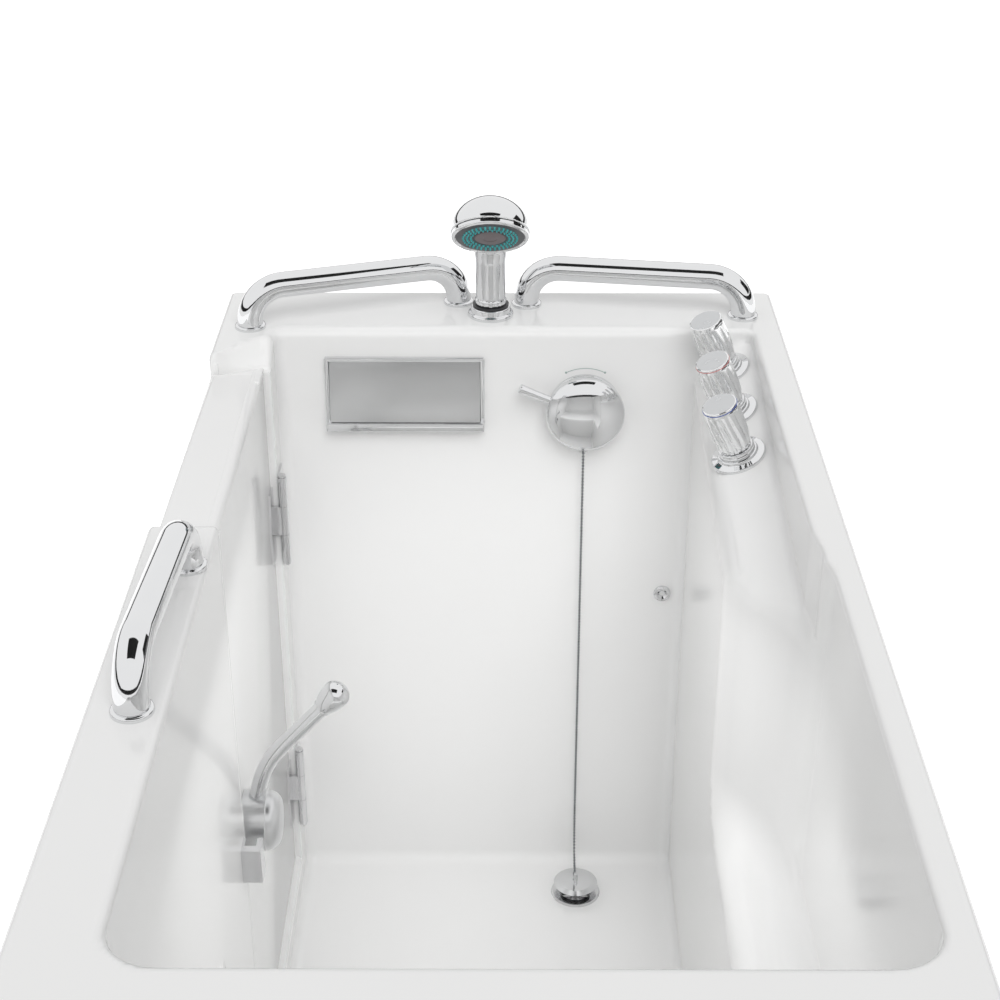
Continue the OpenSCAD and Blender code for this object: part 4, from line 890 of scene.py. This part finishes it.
# %% Make the latch's lever and knob
LEAN = math.radians(41.5)
lever_knots = [Vector(p) * mm for p in ((-278, 90, 575), (-273.7, 90, 590), (-267.7, 90, 611),
                                        (-258.5, 90, 631), (-244, 90, 651), (-224, 90, 673),
                                        (-205, 90, 694), (-186.8, 90, 714.4))]
lever = tube("latch_bent_lever", eased(lever_knots, 6), 9 * mm, sides=12)
finish_piece(lever, "latch", ["latch_lever"])
knob_profile = [(9, -14), (10.6, -14), (11, -13), (10.6, -11), (11.8, -8.4), (13.8, -3),
                (15.2, 4), (16, 11), *arc(0, 12, 16, 8, 88, 10, rise=13), (0, 25), (0, 2),
                (9, 2), (9, -14)]
grip_knob = turned("latch_grip_knob", knob_profile, at=(-0.1868, 0.090, 0.7144),
                   axis=(math.sin(LEAN), 0, math.cos(LEAN)), steps=72)
finish_piece(grip_knob, "latch", ["latch_knob"])

# %% [markdown]
# ## Finishes
#
# Every finish is one Principled material. A shared group turns object coordinates into a slow
# change of gloss and a fine surface, so no piece is perfectly even. It could be built again in
# each material, but one group with named inputs keeps them all alike and easy to change.

# %% Helpers for nodes
def set_inputs(node, **values):
    """Plain values for a node's sockets; a line in a name stands for a space."""
    for key, value in values.items():
        node.inputs[key.replace("_", " ")].default_value = value


def link_rows(tree, *rows):
    """Each row is a node, its output, another node and its input."""
    for source, output, target, socket in rows:
        tree.links.new(source.outputs[output], target.inputs[socket])


# %% Shared surface group
def surface_group():
    """Patches that change the gloss, and a fine grain that moves the normal."""
    group = bpy.data.node_groups.new("handled_surface", "ShaderNodeTree")
    face = group.interface
    face.new_socket(name="Vector", in_out="INPUT", socket_type="NodeSocketVector")
    for name, default in (("Patch Scale", 18.0), ("Grain Scale", 600.0), ("Gloss Low", 0.05),
                          ("Gloss High", 0.10), ("Relief", 0.02)):
        socket = face.new_socket(name=name, in_out="INPUT", socket_type="NodeSocketFloat")
        socket.default_value = default
    for name, kind in (("Roughness", "Float"), ("Patch", "Float"), ("Normal", "Vector")):
        face.new_socket(name=name, in_out="OUTPUT", socket_type="NodeSocket" + kind)
    nodes_ = group.nodes
    start, end = nodes_.new("NodeGroupInput"), nodes_.new("NodeGroupOutput")
    patch, grain = nodes_.new("ShaderNodeTexNoise"), nodes_.new("ShaderNodeTexNoise")
    gloss, bump = nodes_.new("ShaderNodeMapRange"), nodes_.new("ShaderNodeBump")
    set_inputs(patch, Detail=3)
    set_inputs(grain, Detail=2)
    set_inputs(bump, Distance=0.0004)
    link_rows(group, (start, "Vector", patch, "Vector"), (start, "Vector", grain, "Vector"),
              (start, "Patch Scale", patch, "Scale"), (start, "Grain Scale", grain, "Scale"),
              (patch, "Fac", gloss, "Value"), (start, "Gloss Low", gloss, "To Min"),
              (start, "Gloss High", gloss, "To Max"), (grain, "Fac", bump, "Height"),
              (start, "Relief", bump, "Strength"), (gloss, "Result", end, "Roughness"),
              (patch, "Fac", end, "Patch"), (bump, "Normal", end, "Normal"))
    return group


handled_surface = surface_group()
print("group", handled_surface.name, "nodes", len(handled_surface.nodes))


# %% Finish function
def finish_of(name, colour, second, metallic=0.0, gloss=(0.2, 0.3), relief=0.02, patch=18.0,
              grain=600.0, coat=0.0, stretch=(1, 1, 1), **sockets):
    """A finish whose colour drifts a little between two tones and whose gloss varies."""
    material = bpy.data.materials.new(name)
    material.use_nodes = True
    nodes_ = material.node_tree.nodes
    shader = nodes_["Principled BSDF"]
    place, mapping = nodes_.new("ShaderNodeTexCoord"), nodes_.new("ShaderNodeMapping")
    surface, tint = nodes_.new("ShaderNodeGroup"), nodes_.new("ShaderNodeMix")
    surface.node_tree = handled_surface
    tint.data_type = "RGBA"
    tint.inputs[6].default_value = (*colour, 1)
    tint.inputs[7].default_value = (*second, 1)
    set_inputs(mapping, Scale=stretch)
    set_inputs(surface, Patch_Scale=patch, Grain_Scale=grain, Gloss_Low=gloss[0],
               Gloss_High=gloss[1], Relief=relief)
    set_inputs(shader, Metallic=metallic, Coat_Weight=coat, **sockets)
    link_rows(material.node_tree, (place, "Object", mapping, "Vector"),
              (mapping, "Vector", surface, "Vector"), (surface, "Patch", tint, 0),
              (tint, 2, shader, "Base Color"), (surface, "Roughness", shader, "Roughness"),
              (surface, "Normal", shader, "Normal"))
    return material


# %% White and chrome finishes
ACRYLIC = finish_of("gloss_white_acrylic", (0.93, 0.93, 0.925), (0.915, 0.915, 0.912),
                    gloss=(0.10, 0.15), relief=0.015, patch=4, coat=0.15, Coat_Roughness=0.04,
                    Specular_IOR_Level=0.4)
CHROME = finish_of("polished_chrome", (0.78, 0.785, 0.79), (0.75, 0.755, 0.765), metallic=1,
                   gloss=(0.03, 0.07), relief=0.006, patch=30)
SATIN_CHROME = finish_of("soft_drum_chrome", (0.74, 0.745, 0.75), (0.71, 0.715, 0.72),
                         metallic=1, gloss=(0.28, 0.34), relief=0.006, patch=30)
CLEAR_KNOB = finish_of("clear_fluted_knob", (0.90, 0.905, 0.91), (0.87, 0.875, 0.88),
                       metallic=0.9, gloss=(0.05, 0.09), relief=0.004, patch=30, coat=0.5)
BEAD_CHROME = finish_of("dull_bead_chrome", (0.30, 0.31, 0.32), (0.24, 0.25, 0.26),
                        metallic=1, gloss=(0.22, 0.34), relief=0.02, patch=40)
PRINT_GREY = finish_of("pale_print", (0.42, 0.50, 0.48), (0.36, 0.44, 0.42), gloss=(0.4, 0.5))
KNOB_TOP = finish_of("pale_knob_top", (0.66, 0.67, 0.68), (0.63, 0.64, 0.65), metallic=0.2,
                     gloss=(0.22, 0.3), relief=0.02, patch=60)
PANEL = finish_of("bright_spout_panel", (0.68, 0.685, 0.69), (0.65, 0.655, 0.66), metallic=1,
                  gloss=(0.22, 0.28), relief=0.01, patch=20)
STAINLESS = finish_of("brushed_stainless", (0.76, 0.76, 0.77), (0.70, 0.70, 0.71), metallic=1,
                      gloss=(0.14, 0.22), relief=0.015, patch=12, grain=300, stretch=(6, 6, 1))

# %% Finishes of the hidden parts
STEEL_PAINT = finish_of("grey_frame_paint", (0.24, 0.26, 0.28), (0.20, 0.22, 0.24),
                        gloss=(0.4, 0.55), relief=0.1, patch=14, grain=260)
PLYWOOD = finish_of("sealed_plywood", (0.52, 0.38, 0.22), (0.36, 0.25, 0.13), gloss=(0.5, 0.65),
                    relief=0.25, patch=5, grain=90, stretch=(1, 12, 1))
RUBBER = finish_of("dark_seal_rubber", (0.055, 0.056, 0.06), (0.04, 0.04, 0.044),
                   gloss=(0.55, 0.7), relief=0.2, grain=400)
PLASTIC = finish_of("white_pipe_plastic", (0.80, 0.80, 0.79), (0.76, 0.76, 0.75),
                    gloss=(0.3, 0.4), relief=0.03)
BRASS = finish_of("plumbing_brass", (0.62, 0.44, 0.18), (0.52, 0.35, 0.13), metallic=1,
                  gloss=(0.25, 0.38), relief=0.06, patch=25)
BLACK = finish_of("black_cable_plastic", (0.035, 0.035, 0.038), (0.025, 0.025, 0.028),
                  gloss=(0.35, 0.45), relief=0.05)

# %% Coloured finishes
SPRAY_GREY = finish_of("dark_spray_face", (0.085, 0.088, 0.095), (0.065, 0.068, 0.075),
                       gloss=(0.28, 0.36), relief=0.03, patch=50)
SPRAY_BAND = finish_of("teal_tinted_band", (0.09, 0.15, 0.16), (0.07, 0.12, 0.13),
                       gloss=(0.3, 0.4), relief=0.03, patch=60)
TEAL = finish_of("teal_nozzle_rubber", (0.10, 0.62, 0.62), (0.08, 0.54, 0.55),
                 gloss=(0.35, 0.5), relief=0.04, patch=90)
ROSY = finish_of("rosy_grey_middle", (0.20, 0.165, 0.17), (0.16, 0.135, 0.14), gloss=(0.3, 0.4),
                 relief=0.02, patch=60)
FOAM = finish_of("closed_cell_foam", (0.72, 0.66, 0.48), (0.66, 0.60, 0.42), gloss=(0.8, 0.9),
                 relief=0.5, grain=300)
RED = finish_of("hot_red", (0.62, 0.24, 0.24), (0.54, 0.20, 0.20), gloss=(0.25, 0.35))
BLUE = finish_of("cold_blue", (0.09, 0.14, 0.42), (0.07, 0.11, 0.36), gloss=(0.25, 0.35))

# %% Give every piece its finish
def dress(piece, material):
    """One material all over, in place of what was there."""
    piece.data.materials.clear()
    piece.data.materials.append(material)


made = {
    ACRYLIC: [tub_shell, door],
    CHROME: [*bars, bar_flanges, deck_plate, handle, bezel, spout_frame, valve_rings, drain_ring,
             dome, jet, lever, grip_knob],
    SATIN_CHROME: [latch_drum], BEAD_CHROME: [bead_chain], CLEAR_KNOB: knobs,
    KNOB_TOP: knob_tops, PANEL: [spout_panel], PRINT_GREY: [direction_mark],
    SPRAY_GREY: [face], SPRAY_BAND: [band], TEAL: [nozzle_rings], ROSY: [middle_disc],
    RED: [index_rings["hot"]], BLUE: [index_rings["cold"]],
}
for material, pieces in made.items():
    for piece in pieces:
        dress(piece, material)
by_slot = {"acrylic": ACRYLIC, "chrome": CHROME, "polished_panel": PANEL, "stainless": STAINLESS,
           "frame_paint": STEEL_PAINT, "plywood": PLYWOOD, "seal_rubber": RUBBER,
           "white_plastic": PLASTIC, "brass": BRASS, "black_plastic": BLACK,
           "spray_face": SPRAY_GREY, "foam_core": FOAM, "red_index": RED, "blue_index": BLUE}
slot_of = {part["node"]: part["material_slot"] for part in frame["record"]["subparts"]}
for name, node in nodes.items():
    dress(node, by_slot[slot_of[name]])
print("finishes", len(bpy.data.materials))

# %% [markdown]
# ## Stage and light
#
# A white floor, a white surround that mirrors and glass can see, one broad soft lamp from the
# camera's side, a weak one from the door side, a faint one that fills the deep well, and dark
# cards out of view that give the chrome its black lines. The floor glows for the camera and for
# reflections only. That whitens the background without more light on the object.

# %% Floor
FLOOR_GLOW = 0.46
bpy.ops.mesh.primitive_plane_add(size=14, location=(0, 0, 0))
floor = named(bpy.context.object, "studio_floor")
floor_paint = bpy.data.materials.new("studio_white")
floor_paint.use_nodes = True
floor_nodes = floor_paint.node_tree.nodes
floor_shader = floor_nodes["Principled BSDF"]
set_inputs(floor_shader, Base_Color=(0.9, 0.9, 0.9, 1), Roughness=0.8,
           Emission_Color=(1, 1, 1, 1))
floor_path, looked_at = floor_nodes.new("ShaderNodeLightPath"), floor_nodes.new("ShaderNodeMath")
glow = floor_nodes.new("ShaderNodeMath")
looked_at.operation, glow.operation = "MAXIMUM", "MULTIPLY"
glow.inputs[1].default_value = FLOOR_GLOW
link_rows(floor_paint.node_tree, (floor_path, "Is Camera Ray", looked_at, 0),
          (floor_path, "Is Glossy Ray", looked_at, 1), (looked_at, 0, glow, 0),
          (glow, 0, floor_shader, "Emission Strength"))
floor.data.materials.append(floor_paint)
print("floor glow", FLOOR_GLOW)

# %% Dark cards
card_paint = bpy.data.materials.new("black_card")
card_paint.use_nodes = True
set_inputs(card_paint.node_tree.nodes["Principled BSDF"], Base_Color=(0.01, 0.01, 0.01, 1),
           Roughness=0.9)
CARDS = {
    "card_right": ((2.4, 0.9, 1.9), (0, -80, 0), (1.1, 1.5)),
    "card_overhead": ((0.0, -0.7, 3.0), (0, 0, 0), (2.0, 1.4)),
    "card_horizon_right": ((3.4, 0, 1.22), (0, -90, 0), (0.42, 7)),
    "card_horizon_left": ((-3.4, 0, 1.22), (0, 90, 0), (0.42, 7)),
    "card_horizon_far": ((0, 3.4, 1.22), (90, 0, 0), (7, 0.42)),
    "card_horizon_near": ((0, -3.4, 1.22), (-90, 0, 0), (7, 0.42)),
}
for name, (spot, turn, size) in CARDS.items():
    bpy.ops.mesh.primitive_plane_add(size=1, location=spot,
                                     rotation=[math.radians(t) for t in turn])
    card = named(bpy.context.object, name)
    card.scale = (size[0], size[1], 1)
    card.data.materials.append(card_paint)
    card.visible_camera = False
    card.visible_diffuse = False
    card.visible_shadow = False

# %% Surround
SEEN_WHITE, LIT_WHITE = 1, 0.50
world = bpy.data.worlds.new("studio_surround")
bpy.context.scene.world = world
world.use_nodes = True
tree = world.node_tree
tree.nodes.clear()
seen, lit = tree.nodes.new("ShaderNodeBackground"), tree.nodes.new("ShaderNodeBackground")
mix, out = tree.nodes.new("ShaderNodeMixShader"), tree.nodes.new("ShaderNodeOutputWorld")
path = tree.nodes.new("ShaderNodeLightPath")
both, all_three = tree.nodes.new("ShaderNodeMath"), tree.nodes.new("ShaderNodeMath")
both.operation = all_three.operation = "MAXIMUM"
set_inputs(seen, Color=(1, 1, 1, 1), Strength=SEEN_WHITE)
set_inputs(lit, Color=(1, 1, 1, 1), Strength=LIT_WHITE)
link_rows(tree, (path, "Is Camera Ray", both, 0), (path, "Is Glossy Ray", both, 1),
          (both, 0, all_three, 0), (path, "Is Transmission Ray", all_three, 1),
          (all_three, 0, mix, 0), (lit, 0, mix, 1), (seen, 0, mix, 2), (mix, 0, out, "Surface"))
print("surround", world.name, "lights the object at", LIT_WHITE)


# %% Lamps
def far_lamp(name, towards, spread, strength):
    """A lamp so far off that near and far parts get the same light."""
    bpy.ops.object.light_add(type="SUN", location=-4 * Vector(towards).normalized())
    light = bpy.context.object
    light.name = name
    light.data.angle = math.radians(spread)
    light.data.energy = strength
    light.visible_glossy = False
    light.rotation_euler = Vector(towards).to_track_quat("-Z", "Y").to_euler()


WELL_LAMP_AT, WELL_LAMP_SIZE, WELL_LAMP_WATTS = (-0.02, 0.02, 0.86), (0.42, 0.68), 0.8
far_lamp("front_soft", (-0.12, 0.67, -0.73), 40, 1.35)
far_lamp("left_soft", (0.75, 0.2, -0.6), 50, 0.2)
bpy.ops.object.light_add(type="AREA", location=WELL_LAMP_AT)
well_lamp = bpy.context.object
well_lamp.name = "well_soft"
well_lamp.data.shape = "RECTANGLE"
well_lamp.data.size, well_lamp.data.size_y = WELL_LAMP_SIZE
well_lamp.data.energy = WELL_LAMP_WATTS
well_lamp.visible_glossy = False
well_lamp.visible_camera = False
bpy.context.scene.view_settings.view_transform = "Standard"
print("lamps", [light.name for light in bpy.data.lights])
